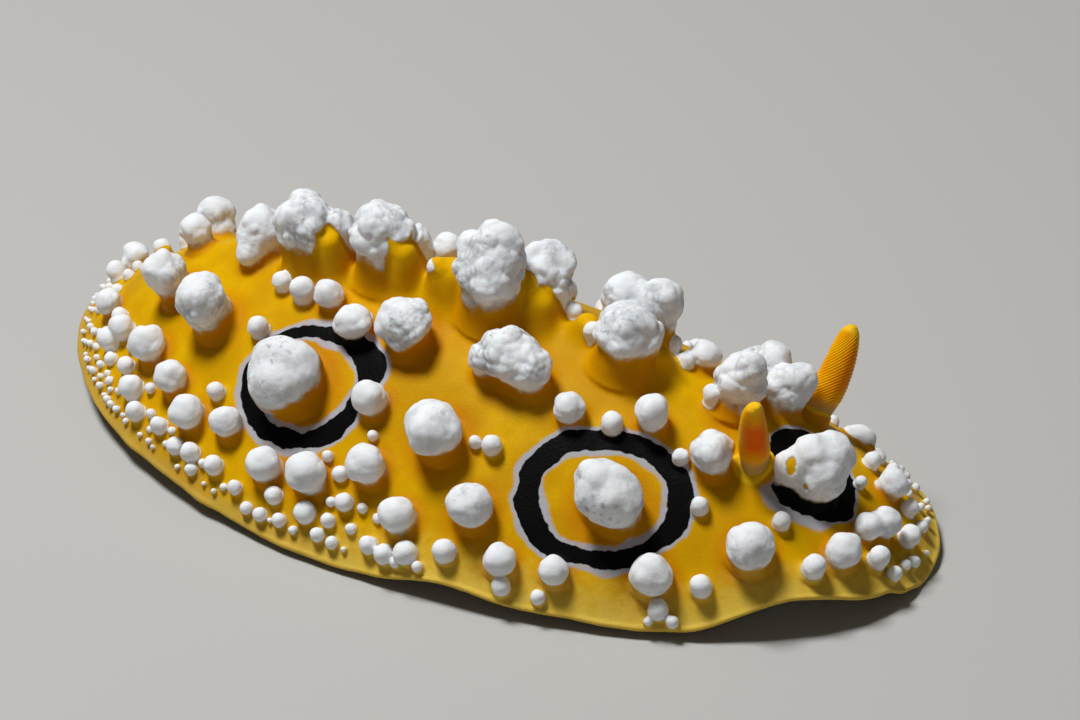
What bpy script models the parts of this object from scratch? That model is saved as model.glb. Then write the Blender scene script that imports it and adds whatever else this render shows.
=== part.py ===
"""Ocellate phyllidia, a warty sea slug, as a still, life-size model.

The animal crawls on a flat floor with its head towards +X and its left side towards +Y.
Lengths in this script are millimetres and become metres where a mesh is made.

The mantle is described by two numbers. An angle runs round the margin, from 0 at the head's tip
over 90 on the left to 180 at the tail. A reach runs from 0 on the crest to 1 at the margin.
Places on the back are given as (along, across) of a straight body, which is then bent a little.
"""
import bisect
import math
import random

import bmesh
import bpy
from mathutils import Vector

MM = 0.001
GAP = 0.3                     # between neighbouring pieces

# Body
HALF_LENGTH = 27.5
HALF_WIDTH = 13.5
HEAD_NARROWING = 0.08         # the head's half is this much narrower, the tail's wider
HEAD_BLUNTNESS = 0.82         # powers of the outline's cosine and sine
SIDE_BLUNTNESS = 0.95
TAIL_SIDE_BLUNTNESS = 1.08
CREST_SHARE = 0.55            # the crest line's half length, as a share of the body's
CREST_HEIGHT = 9.4            # crest above the margin's level, at mid length
CREST_FALL = 2.0              # how much lower it is at both ends
CREST_HEAD_FALL = 0.6         # how much lower again at the head, and higher at the tail
SLOPE_POWER = 1.67            # shape of the slope from crest to margin
SLOPE_ROUNDING = 1.05
BEND_PER_MM = 0.002           # both ends curve to the left by this times the square of the length
ORIGIN_ALONG = 0.0            # the box's middle in the straight body's frame
ORIGIN_ACROSS = -0.5

# Margin: height of its lower edge above the floor, at angles round the body
MARGIN_WAVES = ((0, 0.1), (8, 0.4), (30, 1.0), (60, 0.4), (90, 1.2), (120, 0.5), (150, 1.3),
                (180, 1.9), (210, 1.3), (235, 1.1), (260, 0.4), (268, 0.35), (278, 1.3), (287, 0.75),
                (305, 0.45), (325, 2.3), (345, 1.2), (352, 0.6), (360, 0.1))
MARGIN_LEVEL = 1.1
MARGIN_THICKNESS = 0.6
MARGIN_NOSE = 0.25            # the rounded edge stands out this far
SKIRT_THICKENING = 3.5        # the skirt grows thicker by this times the way to the crest
CEILING = 2.8                 # the underside over the foot

# The two cuts that part the mantle into front, middle and rear
FRONT_CUT = 6.85
REAR_CUT = -12.8

# Mesh fineness
ROUND_STEPS = 72
TOP_REACHES = (0.0, 0.14, 0.28, 0.42, 0.55, 0.67, 0.78, 0.88, 0.95, 1.0)
UNDER_REACHES = (0.88, 0.74, 0.6, 0.35, 0.0)

# Tubercles: (along, across, width, height). Those along the crest
MIDDLE_TUBERCLES = (
    (-25.8, -0.1, 1.2, 1.3), (-25.4, 1.4, 1.6, 1.7), (-23.4, 1.4, 1.1, 1.2), (-22.0, 2.2, 1.1, 1.2),
    (-19.4, 0.0, 1.7, 2.1), (-19.7, 2.2, 1.9, 2.8), (-16.1, 2.2, 1.5, 1.8), (-14.7, -1.3, 1.5, 1.7),
    (-14.5, 0.0, 2.4, 3.0), (-10.7, -0.8, 3.2, 4.9), (-9.0, -0.2, 1.7, 3.7), (-5.9, -0.4, 3.2, 5.0),
    (-4.2, 0.4, 1.4, 3.2), (-3.0, 1.4, 1.7, 2.8), (0.2, -0.6, 1.4, 4.9), (1.6, -1.0, 3.5, 5.2),
    (1.7, -0.5, 2.4, 6.1), (3.5, 1.0, 2.7, 4.3), (4.3, 0.6, 1.7, 2.9), (5.6, 0.8, 1.0, 1.2),
    (7.5, -0.6, 1.0, 1.6), (8.2, 1.5, 2.5, 3.8), (9.8, -1.0, 3.3, 4.2), (10.1, 1.5, 2.3, 4.3),
    (11.3, 1.6, 1.0, 1.3), (12.3, 1.2, 1.1, 0.9), (13.0, 2.0, 1.6, 1.7), (15.0, -0.8, 1.0, 1.3),
    (16.0, -0.2, 2.6, 3.4), (16.4, -0.1, 1.5, 4.1), (15.9, 3.5, 2.3, 3.0), (17.6, 2.2, 2.3, 2.8),
    (18.0, 2.6, 1.5, 3.1), (20.3, -2.3, 1.8, 2.2), (20.8, -1.7, 2.1, 3.5), (21.5, -0.8, 2.0, 3.5),
    (21.7, -1.8, 2.5, 2.8), (22.6, 3.3, 1.0, 1.0), (24.1, 2.3, 1.7, 1.8), (24.6, -1.6, 1.5, 1.6),
    (25.0, -0.8, 1.7, 1.9), (25.3, 2.4, 1.0, 1.0), (26.1, 0.6, 1.2, 1.2))
# Lobes of bare skin that rise between the tubercles of the crest
CREST_LOBES = (
    (-8.9, -1.2, 1.6, 3.3), (-4.2, -0.8, 1.6, 3.4), (-1.4, -0.5, 2.0, 2.9), (3.0, -0.5, 1.5, 2.9),
    (4.1, -0.4, 1.5, 2.1))
# On the right side, where across is the distance from the crest line
SIDE_TUBERCLES = (
    (-23.8, 3.4, 1.5, 1.6), (-22.0, 5.9, 1.3, 1.4), (-21.3, 5.4, 1.4, 1.5), (-19.8, 7.4, 1.0, 1.0),
    (-18.7, 3.4, 2.3, 3.3), (-18.5, 8.6, 1.4, 1.4), (-18.3, 6.7, 2.0, 2.2), (-17.5, 9.7, 1.1, 1.1),
    (-15.6, 8.3, 1.8, 2.0), (-15.4, 10.3, 1.0, 1.0), (-14.8, 5.1, 2.8, 3.8), (-13.8, 11.1, 1.0, 0.9),
    (-13.4, 9.8, 1.9, 2.1), (-12.5, 11.3, 1.1, 1.1), (-12.4, 8.6, 1.0, 1.0), (-11.5, 2.7, 1.1, 1.2),
    (-11.4, 5.4, 1.2, 1.3), (-10.7, 9.9, 1.7, 1.8), (-10.7, 11.6, 1.1, 1.1), (-9.8, 3.1, 1.4, 1.6),
    (-7.9, 3.1, 1.6, 1.8), (-7.5, 7.6, 4.5, 4.0), (-7.3, 11.2, 1.9, 2.0), (-6.3, 12.1, 1.0, 0.9),
    (-5.5, 4.3, 2.0, 2.1), (-4.4, 11.1, 2.2, 2.4), (-4.0, 12.4, 1.2, 1.1), (-2.5, 7.5, 1.9, 2.0),
    (-2.1, 4.1, 3.0, 3.2), (-1.9, 11.6, 1.0, 1.0), (-1.1, 10.1, 2.1, 2.3), (1.8, 11.6, 2.0, 2.1),
    (2.3, 8.2, 3.2, 3.3), (2.8, 12.8, 1.3, 1.1), (3.0, 4.4, 1.5, 2.3), (4.5, 3.9, 3.0, 3.2),
    (5.7, 4.1, 2.3, 2.7), (5.0, 12.4, 1.3, 1.2), (5.3, 7.7, 1.1, 1.1), (5.7, 10.5, 2.4, 2.5),
    (8.1, 11.8, 1.8, 1.8), (8.6, 4.9, 1.6, 1.8), (8.7, 12.8, 1.0, 0.9), (11.0, 4.6, 1.2, 1.2),
    (11.0, 11.4, 1.6, 1.6), (11.9, 7.7, 2.3, 3.7), (12.6, 7.8, 3.5, 3.7), (13.3, 7.9, 2.5, 3.1),
    (12.9, 3.6, 1.8, 2.5), (16.0, 9.5, 2.3, 2.1), (16.7, 4.0, 2.1, 2.5), (16.9, 10.4, 1.1, 0.9),
    (17.1, 6.1, 1.0, 1.0), (18.7, 8.9, 1.2, 1.3), (20.5, 6.9, 2.5, 2.6), (21.2, 4.8, 1.0, 1.0),
    (23.6, 5.9, 1.3, 1.3), (24.3, 4.1, 1.9, 1.9), (25.8, 2.7, 1.2, 1.2))
# On the left side, whose outer ones follow the right side's
LEFT_TUBERCLES = (
    (-17.9, 5.2, 2.1, 2.2), (-15.2, 5.8, 2.5, 2.5), (-12.8, 8.8, 1.8, 1.8), (-10.0, 5.0, 2.7, 2.6),
    (-4.9, 8.9, 3.3, 3.0), (-2.4, 4.8, 2.9, 2.8), (0.6, 6.4, 1.6, 1.4), (4.9, 9.0, 2.7, 2.3),
    (7.8, 4.8, 2.5, 2.5), (12.8, 9.4, 3.2, 2.2), (14.6, 5.2, 1.6, 1.4), (17.0, 6.6, 1.4, 1.0),
    (20.4, 6.8, 2.1, 1.1))
LEFT_FROM = 9.5               # right tubercles farther out than this are mirrored on the left
LEFT_HEIGHT = 0.85            # and are this much of their height there
LEFT_SLIDE = 0.7              # how far a left tubercle may differ from its mirror image
LEFT_SIZE_CHANGE = 0.12
LEFT_SEED = 7
TUBERCLE_UPRIGHT = 0.35       # how far it turns from the surface's normal towards the vertical
TUBERCLE_SINK = 0.3           # depth of the root as a share of the width, and the most it may be
TUBERCLE_MOST_SINK = 0.8
LARGE_WIDTH = 2.8             # a large tubercle has a waist under its cap, a small one only a cap
SMALL_WIDTH = 1.5
LARGE_PROFILE = ((0.22, 0.95), (0.42, 0.88), (0.66, 1.0), (0.88, 0.72))
MEDIUM_PROFILE = ((0.3, 0.9), (0.62, 1.0), (0.88, 0.68))
SMALL_PROFILE = ((0.5, 1.0), (0.85, 0.66))
CREST_PROFILE = ((0.12, 1.2), (0.45, 1.0), (0.7, 1.0), (0.9, 0.7))
CREST_BAND = 3.0              # tall tubercles this near the crest line stand on spreading roots
CREST_TALL = 2.4
CREST_END = 19.0
CREST_SINK = 1.5
TUBERCLE_TIP = 0.3            # width of the small flat on top, as a share
MOST_REACH = 0.955            # no tubercle stands nearer to the margin's edge than this

# Fine tubercles in two rows along the margin: (reach, angle between them, width)
MARGIN_ROWS = ((0.87, 15, 1.0), (0.94, 14, 0.9))
MARGIN_ROOM = 0.35            # least room between a fine tubercle and a larger one
MARGIN_JITTER = 3.0           # degrees
MARGIN_SEED = 11

# Foot
FOOT_FRONT = 20.5
FOOT_BACK = -22.5
FOOT_HALF_WIDTH = 5.4
FOOT_HEIGHT = 2.5
FOOT_PROFILE = ((0.0, 0.96), (0.35, 1.0), (0.9, 0.93), (1.6, 0.86), (FOOT_HEIGHT, 0.82))
FOOT_STEPS = 56

# Gills: flaps that hang in the groove between the foot and the mantle's skirt
GILL_STEP = 1.55
GILL_OFF_FOOT = 0.7
GILL_WIDTH = 2.1
GILL_DROP = 1.4
GILL_THICKNESS = 0.6
GILL_ROOT = 0.5
GILL_LAST = 0.93              # no flaps past this share of the foot's half length

# Head, under the mantle's front
HEAD_BACK = 20.9
HEAD_FRONT = 24.0
HEAD_HALF_WIDTH = 2.5
HEAD_LOW = 0.4
HEAD_TOP = 2.3

# Oral tentacles
TENTACLE_ROOT = (23.7, 2.55, 1.25)
TENTACLE_TIP = (25.0, 3.9, 0.7)
TENTACLE_ROOT_RADIUS = 0.5
TENTACLE_TIP_RADIUS = 0.25

# Rhinophores: clubs with raised lamellae, each out of a low sheath of the mantle. Their tips are
# slanted, because the front of the club stays straight while the rear slopes to it.
RIGHT_RHINOPHORE = {"place": (18.7, -2.8), "length": 6.1, "lean": (0.09, -0.4, 1.0)}
LEFT_RHINOPHORE = {"place": (18.4, 4.0), "length": 5.95, "lean": (0.18, 0.4, 1.0)}
CLUB_RADII = ((0.0, 0.84), (0.22, 0.86), (0.3, 0.92), (0.45, 0.93), (0.6, 0.86), (0.74, 0.73),
              (0.84, 0.62), (0.92, 0.5), (1.0, 0.25))
CLUB_WIDEST = 0.93
TIP_FROM = 0.5                # share of the length from which the tip slants
TIP_SHIFT = 0.95
LAMELLA_COUNT = 11
LAMELLA_START = 0.28          # shares of the length between which the lamellae stand
LAMELLA_END = 0.94
LAMELLA_HEIGHT = 0.1
RHINOPHORE_SIDES = 10
SHEATH_RADIUS = 1.15
SHEATH_HEIGHT = 0.85
SHEATH_SINK = 0.8

# The papilla of the anus, on the back near the tail
ANUS_ALONG = -21.6
ANUS_ACROSS = -0.6
ANUS_RADIUS = 0.6
ANUS_HEIGHT = 0.9

YELLOW = (0.83, 0.50, 0.02)
ORANGE = (0.90, 0.33, 0.01)
GREY = (0.55, 0.52, 0.47)


def signed_power(value, power):
    return math.copysign(abs(value) ** power, value)


def outline(angle):
    """The margin of the straight body."""
    cosine, sine = math.cos(angle), math.sin(angle)
    along = HALF_LENGTH * (signed_power(cosine, HEAD_BLUNTNESS) if cosine > 0 else cosine)
    width = HALF_WIDTH * (1 - HEAD_NARROWING * cosine)
    side_power = SIDE_BLUNTNESS if cosine > 0 else TAIL_SIDE_BLUNTNESS
    return along, width * signed_power(sine, side_power)


def margin_height(angle):
    """Height of the margin's lower edge, easing from wave to wave."""
    degrees = math.degrees(angle) % 360
    last = len(MARGIN_WAVES) - 2
    index = min(bisect.bisect_right([wave[0] for wave in MARGIN_WAVES], degrees) - 1, last)
    (start, low), (end, high) = MARGIN_WAVES[index], MARGIN_WAVES[index + 1]
    ease = (1 - math.cos(math.pi * (degrees - start) / (end - start))) / 2
    return low + (high - low) * ease


def bent(along, across, height):
    """A point of the straight body, bent and set in the model's frame."""
    sideways = BEND_PER_MM * (along ** 2 - HALF_LENGTH ** 2 / 3)
    return Vector((along - ORIGIN_ALONG, across + sideways - ORIGIN_ACROSS, height))


def plan_point(angle, reach):
    crest_along = CREST_SHARE * HALF_LENGTH * math.cos(angle)
    edge_along, edge_across = outline(angle)
    return crest_along + reach * (edge_along - crest_along), reach * edge_across


def top_height(angle, reach):
    cosine = math.cos(angle)
    crest = CREST_HEIGHT - CREST_FALL * cosine ** 2 - CREST_HEAD_FALL * cosine ** 3
    slope = max(0.0, 1 - reach ** SLOPE_POWER) ** SLOPE_ROUNDING
    wave = (margin_height(angle) - MARGIN_LEVEL) * reach ** 3
    return MARGIN_LEVEL + MARGIN_THICKNESS + wave + crest * slope


def under_height(angle, reach):
    thickness = MARGIN_THICKNESS + SKIRT_THICKENING * (1 - reach)
    return min(top_height(angle, reach) - thickness, CEILING)


def top_point(angle, reach):
    return bent(*plan_point(angle, reach), top_height(angle, reach))


def place_on_back(along, across):
    """Angle and reach of a place on the back, by halving the reach."""
    low, high = 0.001, 1.0
    angle = 0.0
    for _ in range(30):
        reach = (low + high) / 2
        crest_part = CREST_SHARE * HALF_LENGTH * (1 - reach)
        low_angle, high_angle = 0.0, math.pi
        for _ in range(30):
            angle = (low_angle + high_angle) / 2
            if crest_part * math.cos(angle) + reach * outline(angle)[0] > along:
                low_angle = angle
            else:
                high_angle = angle
        if reach * outline(angle)[1] < abs(across) or angle < 0.001 or angle > math.pi - 0.001:
            low = reach
        else:
            high = reach
    return math.copysign(angle, across), reach


def seat_on_back(along, across):
    """A point of the back and the direction that a tubercle there grows in."""
    angle, reach = place_on_back(along, across)
    step = 0.01
    seat = top_point(angle, reach)
    round_step = top_point(angle + step, reach) - top_point(angle - step, reach)
    out_step = top_point(angle, min(reach + step, 1.0)) - top_point(angle, max(reach - step, 0.0))
    normal = out_step.cross(round_step).normalized()
    if normal.z < 0:
        normal.negate()
    return seat, (normal + TUBERCLE_UPRIGHT * Vector((0, 0, 1))).normalized()


def material(name, colour, roughness):
    made = bpy.data.materials.new(name)
    made.use_nodes = True
    shader = made.node_tree.nodes["Principled BSDF"]
    shader.inputs["Base Color"].default_value = (*colour, 1.0)
    shader.inputs["Roughness"].default_value = roughness
    shader.inputs["Metallic"].default_value = 0.0
    return made


def mesh_object(name, points, faces, finish=None):
    """A closed mesh from points in millimetres, with its faces turned outwards."""
    mesh = bpy.data.meshes.new(name)
    mesh.from_pydata([tuple(point * MM) for point in points], [], faces)
    work = bmesh.new()
    work.from_mesh(mesh)
    bmesh.ops.recalc_face_normals(work, faces=work.faces)
    if work.calc_volume(signed=True) < 0:
        bmesh.ops.reverse_faces(work, faces=work.faces)
    work.to_mesh(mesh)
    work.free()
    mesh.shade_smooth()
    made = bpy.data.objects.new(name, mesh)
    bpy.context.scene.collection.objects.link(made)
    if finish:
        mesh.materials.append(finish)
    return made


def lofted(name, rings, finish=None):
    """A closed solid through rings of equal length, with a fan at each end."""
    sides = len(rings[0])
    points = [point for ring in rings for point in ring]
    faces = []
    for row in range(len(rings) - 1):
        for side in range(sides):
            after = (side + 1) % sides
            low, high = row * sides, (row + 1) * sides
            faces.append((low + side, low + after, high + after))
            faces.append((low + side, high + after, high + side))
    for first, ring in ((0, rings[0]), (len(points) - sides, rings[-1])):
        centre = sum(ring, Vector()) / sides
        points.append(centre)
        middle = len(points) - 1
        faces += [(middle, first + side, first + (side + 1) % sides) for side in range(sides)]
    return mesh_object(name, points, faces, finish)


def turned(name, root, direction, profile, sides, finish=None):
    """A round solid from (height, radius) pairs along a direction."""
    across = direction.orthogonal().normalized()
    other = direction.cross(across)
    rings = []
    for height, radius in profile:
        centre = root + direction * height
        turns = [2 * math.pi * side / sides for side in range(sides)]
        rings.append([centre + radius * (math.cos(turn) * across + math.sin(turn) * other)
                      for turn in turns])
    return lofted(name, rings, finish)


def remove(thing):
    mesh = thing.data
    bpy.data.objects.remove(thing)
    bpy.data.meshes.remove(mesh)


def apply_modifiers(thing):
    graph = bpy.context.evaluated_depsgraph_get()
    made = bpy.data.meshes.new_from_object(thing.evaluated_get(graph))
    old = thing.data
    thing.modifiers.clear()
    thing.data = made
    bpy.data.meshes.remove(old)


def combine(body, pieces, operation):
    """One Boolean of a body with a collection of closed pieces, which are then removed."""
    group = bpy.data.collections.new("pieces")
    for piece in pieces:
        group.objects.link(piece)
    boolean = body.modifiers.new("combine", "BOOLEAN")
    boolean.operation = operation
    boolean.operand_type = "COLLECTION"
    boolean.collection = group
    boolean.solver = "EXACT"
    apply_modifiers(body)
    bpy.data.collections.remove(group)
    for piece in pieces:
        remove(piece)


def closed_surfaces(work):
    """The separate surfaces of a mesh, each a list of faces, the largest first."""
    left = set(work.faces)
    found = []
    while left:
        start = left.pop()
        surface, edge_of_search = [start], [start]
        while edge_of_search:
            face = edge_of_search.pop()
            for edge in face.edges:
                for neighbour in edge.link_faces:
                    if neighbour in left:
                        left.remove(neighbour)
                        surface.append(neighbour)
                        edge_of_search.append(neighbour)
        found.append(surface)
    return sorted(found, key=lambda faces: sum(face.calc_area() for face in faces), reverse=True)


def keep_largest_surface(thing):
    work = bmesh.new()
    work.from_mesh(thing.data)
    bmesh.ops.remove_doubles(work, verts=work.verts, dist=0.002 * MM)
    bmesh.ops.dissolve_degenerate(work, edges=work.edges, dist=0.002 * MM)
    for surface in closed_surfaces(work)[1:]:
        bmesh.ops.delete(work, geom=surface, context="FACES")
    bmesh.ops.triangulate(work, faces=work.faces)
    work.to_mesh(thing.data)
    work.free()


def mantle_blank(finish):
    """The smooth mantle: crest, slopes, rounded margin and hollow underside, as one closed mesh."""
    half = ROUND_STEPS // 2
    angles = [2 * math.pi * step / ROUND_STEPS for step in range(ROUND_STEPS)]
    rings = [[top_point(angle, reach) for angle in angles] for reach in TOP_REACHES[1:]]
    nose = []
    for angle in angles:
        along, across = plan_point(angle, 1.0)
        out = Vector((along / HALF_LENGTH ** 2, across / HALF_WIDTH ** 2, 0)).normalized()
        height = margin_height(angle) + MARGIN_THICKNESS / 2
        nose.append(bent(along + MARGIN_NOSE * out.x, across + MARGIN_NOSE * out.y, height))
    rings.append(nose)
    for reach in (1.0, *UNDER_REACHES[:-1]):
        rings.append([bent(*plan_point(angle, reach), under_height(angle, reach))
                      for angle in angles])
    crest = [top_point(angle, 0.0) for angle in angles[:half + 1]]
    floor = [bent(*plan_point(angle, 0.0), CEILING) for angle in angles[:half + 1]]
    points = crest + [point for ring in rings for point in ring] + floor

    def crest_index(step, start):
        step %= ROUND_STEPS
        return start + min(step, ROUND_STEPS - step)

    def ring_index(row, step):
        return len(crest) + row * ROUND_STEPS + step % ROUND_STEPS

    faces = []
    floor_start = len(points) - len(floor)
    last = len(rings) - 1
    for step in range(ROUND_STEPS):
        for start, row in ((0, 0), (floor_start, last)):
            near, far = crest_index(step, start), crest_index(step + 1, start)
            faces.append((ring_index(row, step), ring_index(row, step + 1), far))
            faces.append((ring_index(row, step), far, near))
        for row in range(last):
            low, low_after = ring_index(row, step), ring_index(row, step + 1)
            high, high_after = ring_index(row + 1, step), ring_index(row + 1, step + 1)
            faces.append((low, low_after, high_after))
            faces.append((low, high_after, high))
    return mesh_object("mantle", points, faces, finish)


def clear_of_cuts(along, width):
    """Slides a tubercle off the two cuts, so that neither goes through it."""
    room = width / 2 + GAP
    for cut in (FRONT_CUT, REAR_CUT):
        if abs(along - cut) < room:
            return cut + math.copysign(room, along - cut)
    return along


def inside_margin(along, across):
    """Moves a place that is too near the margin's edge towards the crest."""
    angle, reach = place_on_back(along, across)
    return plan_point(angle, min(reach, MOST_REACH))


def left_tubercles():
    """The left side's own tubercles, and the right side's outer ones mirrored where they have room."""
    draw = random.Random(LEFT_SEED)
    yield from LEFT_TUBERCLES
    for along, across, width, height in SIDE_TUBERCLES:
        place = (along + draw.uniform(-LEFT_SLIDE, LEFT_SLIDE), across)
        scale = 1 + draw.uniform(-LEFT_SIZE_CHANGE, LEFT_SIZE_CHANGE)
        room = all(math.dist(place, other[:2]) > (width + other[2]) / 2 for other in LEFT_TUBERCLES)
        if across > LEFT_FROM and room:
            yield (*place, width * scale, height * scale * LEFT_HEIGHT)


def margin_tubercles(larger):
    """Fine tubercles along the margin, where the larger ones leave room."""
    draw = random.Random(MARGIN_SEED)
    for reach, step, width in MARGIN_ROWS:
        for turn in range(0, 360, step):
            angle = math.radians(turn + draw.uniform(-MARGIN_JITTER, MARGIN_JITTER))
            along, across = plan_point(angle, reach)
            gaps = [math.dist((along, across), other[:2]) - other[2] / 2 - width / 2
                    for other in larger]
            if min(gaps) > MARGIN_ROOM:
                yield along, across, width, width


def tubercle_places():
    """Every tubercle as (along, across, width, height)."""
    places = list(MIDDLE_TUBERCLES + CREST_LOBES)
    places += [(along, -across, width, height) for along, across, width, height in SIDE_TUBERCLES]
    places += list(left_tubercles())
    places += list(margin_tubercles(places))
    return [(*inside_margin(clear_of_cuts(along, width), across), width, height)
            for along, across, width, height in places]


def tubercle(along, across, width, height):
    """A wart: a waist and a round cap where it is large, a plain cap where it is small."""
    seat, direction = seat_on_back(along, across)
    sink = min(TUBERCLE_MOST_SINK, TUBERCLE_SINK * width)
    shape, sides = MEDIUM_PROFILE, 6
    if width > LARGE_WIDTH:
        shape, sides = LARGE_PROFILE, 8
    elif width < SMALL_WIDTH:
        shape = SMALL_PROFILE
    if abs(across) < CREST_BAND and height > CREST_TALL and along < CREST_END:
        shape, sink = CREST_PROFILE, CREST_SINK
    profile = [(-sink, max(shape[0][1], 1.0) * width / 2)]
    profile += [(part * height, share * width / 2) for part, share in shape]
    profile.append((height, TUBERCLE_TIP * width / 2))
    return turned("tubercle", seat, direction, profile, sides)


def anal_papilla():
    seat, direction = seat_on_back(ANUS_ALONG, ANUS_ACROSS)
    profile = ((-TUBERCLE_MOST_SINK, ANUS_RADIUS), (ANUS_HEIGHT, ANUS_RADIUS * 0.75),
               (ANUS_HEIGHT * 0.6, ANUS_RADIUS * 0.35))
    return turned("anal_papilla", seat, direction, profile, 10)


def rhinophore_sheath(sizes):
    seat, _ = seat_on_back(*sizes["place"])
    profile = ((-SHEATH_SINK, SHEATH_RADIUS), (SHEATH_HEIGHT, SHEATH_RADIUS))
    return turned("sheath", seat, Vector(sizes["lean"]).normalized(), profile, RHINOPHORE_SIDES)


def club_radius(part):
    """The rhinophore's radius at a share of its length."""
    for (low, first), (high, second) in zip(CLUB_RADII, CLUB_RADII[1:]):
        if part <= high:
            return first + (second - first) * (part - low) / (high - low)
    return CLUB_RADII[-1][1]


def rhinophore(name, sizes, finish):
    """A smooth stalk, then lamellae as ridges round the club, up to the slanted tip."""
    seat, _ = seat_on_back(*sizes["place"])
    direction = Vector(sizes["lean"]).normalized()
    front = (Vector((1, 0, 0)) - direction * direction.x).normalized()
    side = direction.cross(front)
    shares = [((SHEATH_HEIGHT + GAP) / sizes["length"], 0.0)]
    step = (LAMELLA_END - LAMELLA_START) / LAMELLA_COUNT
    for count in range(LAMELLA_COUNT):
        start = LAMELLA_START + count * step
        shares += [(start, LAMELLA_HEIGHT), (start + step / 2, 0.0)]
    shares += [(0.97, 0.0), (1.0, 0.0)]
    rings = []
    for part, groove in shares:
        radius = club_radius(part)
        shift = TIP_SHIFT * (CLUB_WIDEST - radius) if part > TIP_FROM else 0.0
        centre = seat + direction * part * sizes["length"] + front * shift
        turns = [2 * math.pi * step / RHINOPHORE_SIDES for step in range(RHINOPHORE_SIDES)]
        rings.append([centre + (radius - groove) * (math.cos(turn) * front + math.sin(turn) * side)
                      for turn in turns])
    return lofted(name, rings, finish)


def foot_outline(turn, share, margin=0.0):
    """The foot's outline: round in front, drawn out behind."""
    middle = (FOOT_FRONT + FOOT_BACK) / 2
    half = (FOOT_FRONT - FOOT_BACK) / 2
    cosine, sine = math.cos(turn), math.sin(turn)
    width = FOOT_HALF_WIDTH * (1 + 0.1 * cosine)
    return (middle + (half * share + margin) * cosine,
            (width * share + margin) * signed_power(sine, 0.85))


def foot(finish):
    rings = []
    for height, share in FOOT_PROFILE:
        turns = [2 * math.pi * step / FOOT_STEPS for step in range(FOOT_STEPS)]
        rings.append([bent(*foot_outline(turn, share), height) for turn in turns])
    return lofted("foot", rings, finish)


def gills():
    """Flaps in a row along both sides of the foot."""
    flaps = []
    count = int(2 * (FOOT_FRONT - FOOT_BACK) / GILL_STEP)
    for step in range(count):
        turn = 2 * math.pi * (step + 0.5) / count
        along = foot_outline(turn, 1.0)[0]
        if abs(math.cos(turn)) > GILL_LAST or clear_of_cuts(along, GILL_STEP) != along:
            continue
        near = bent(*foot_outline(turn, 1.0, GILL_OFF_FOOT), 0)
        far = bent(*foot_outline(turn, 1.0, GILL_OFF_FOOT + GILL_WIDTH), 0)
        out = (far - near).normalized()
        side = Vector((-out.y, out.x, 0)) * GILL_THICKNESS / 2
        root = Vector((0, 0, CEILING + GILL_ROOT))
        tip = Vector((0, 0, CEILING - GILL_DROP))
        edge = [near + root, far + root, near.lerp(far, 0.7) + tip, near.lerp(far, 0.2) + tip]
        rings = [[point - side for point in edge], [point + side for point in edge]]
        flaps.append(lofted("gill", rings))
    return flaps


def head(finish):
    """The head under the mantle's front, a low bun with a flat back and a small mouth."""
    rings = []
    length = HEAD_FRONT - HEAD_BACK
    middle = (HEAD_LOW + HEAD_TOP) / 2
    half = (HEAD_TOP - HEAD_LOW) / 2
    for part in (0.0, 0.3, 0.6, 0.82, 0.95):
        size = math.sqrt(1 - part ** 2.4)
        ring = []
        for step in range(20):
            turn = 2 * math.pi * step / 20
            across = HEAD_HALF_WIDTH * size * signed_power(math.cos(turn), 0.8)
            height = middle + half * size * signed_power(math.sin(turn), 0.8)
            ring.append(bent(HEAD_BACK + part * length, across, height))
        rings.append(ring)
    made = lofted("head", rings, finish)
    mouth_root = bent(HEAD_FRONT - 0.7, 0, 1.0)
    mouth_profile = ((0, 0.15), (0.4, 0.45), (1.2, 0.55))
    mouth = turned("mouth", mouth_root, Vector((1, 0, -0.2)).normalized(), mouth_profile, 12)
    combine(made, [mouth], "DIFFERENCE")
    keep_largest_surface(made)
    return made


def oral_tentacle(name, side, finish):
    root = bent(TENTACLE_ROOT[0], side * TENTACLE_ROOT[1], TENTACLE_ROOT[2])
    tip = bent(TENTACLE_TIP[0], side * TENTACLE_TIP[1], TENTACLE_TIP[2])
    length = (tip - root).length
    profile = ((0, TENTACLE_ROOT_RADIUS), (length * 0.6, TENTACLE_ROOT_RADIUS * 0.8),
               (length, TENTACLE_TIP_RADIUS))
    return turned(name, root, (tip - root).normalized(), profile, 10, finish)


def slab(low, high):
    """A box across the whole body, between two places along it."""
    corners = [bent(along, across, height) for along, across, height in
               ((low, -30, -5), (high, -30, -5), (high, 30, -5), (low, 30, -5))]
    top = [corner + Vector((0, 0, 40)) for corner in corners]
    return lofted("slab", [corners, top])


def mantle_parts(finish):
    """The whole mantle with all that grows on it, then parted into three lengths."""
    mantle = mantle_blank(finish)
    pieces = [tubercle(*place) for place in tubercle_places()]
    pieces += [rhinophore_sheath(RIGHT_RHINOPHORE), rhinophore_sheath(LEFT_RHINOPHORE)]
    pieces.append(anal_papilla())
    pieces += gills()
    combine(mantle, pieces, "UNION")
    keep_largest_surface(mantle)
    end = 2 * HALF_LENGTH
    spans = {"mantle_front": (FRONT_CUT + GAP / 2, end),
             "mantle_middle": (REAR_CUT + GAP / 2, FRONT_CUT - GAP / 2),
             "mantle_rear": (-end, REAR_CUT - GAP / 2)}
    for name, (low, high) in spans.items():
        length = bpy.data.objects.new(name, mantle.data.copy())
        bpy.context.scene.collection.objects.link(length)
        combine(length, [slab(low, high)], "INTERSECT")
        keep_largest_surface(length)
    remove(mantle)


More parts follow.
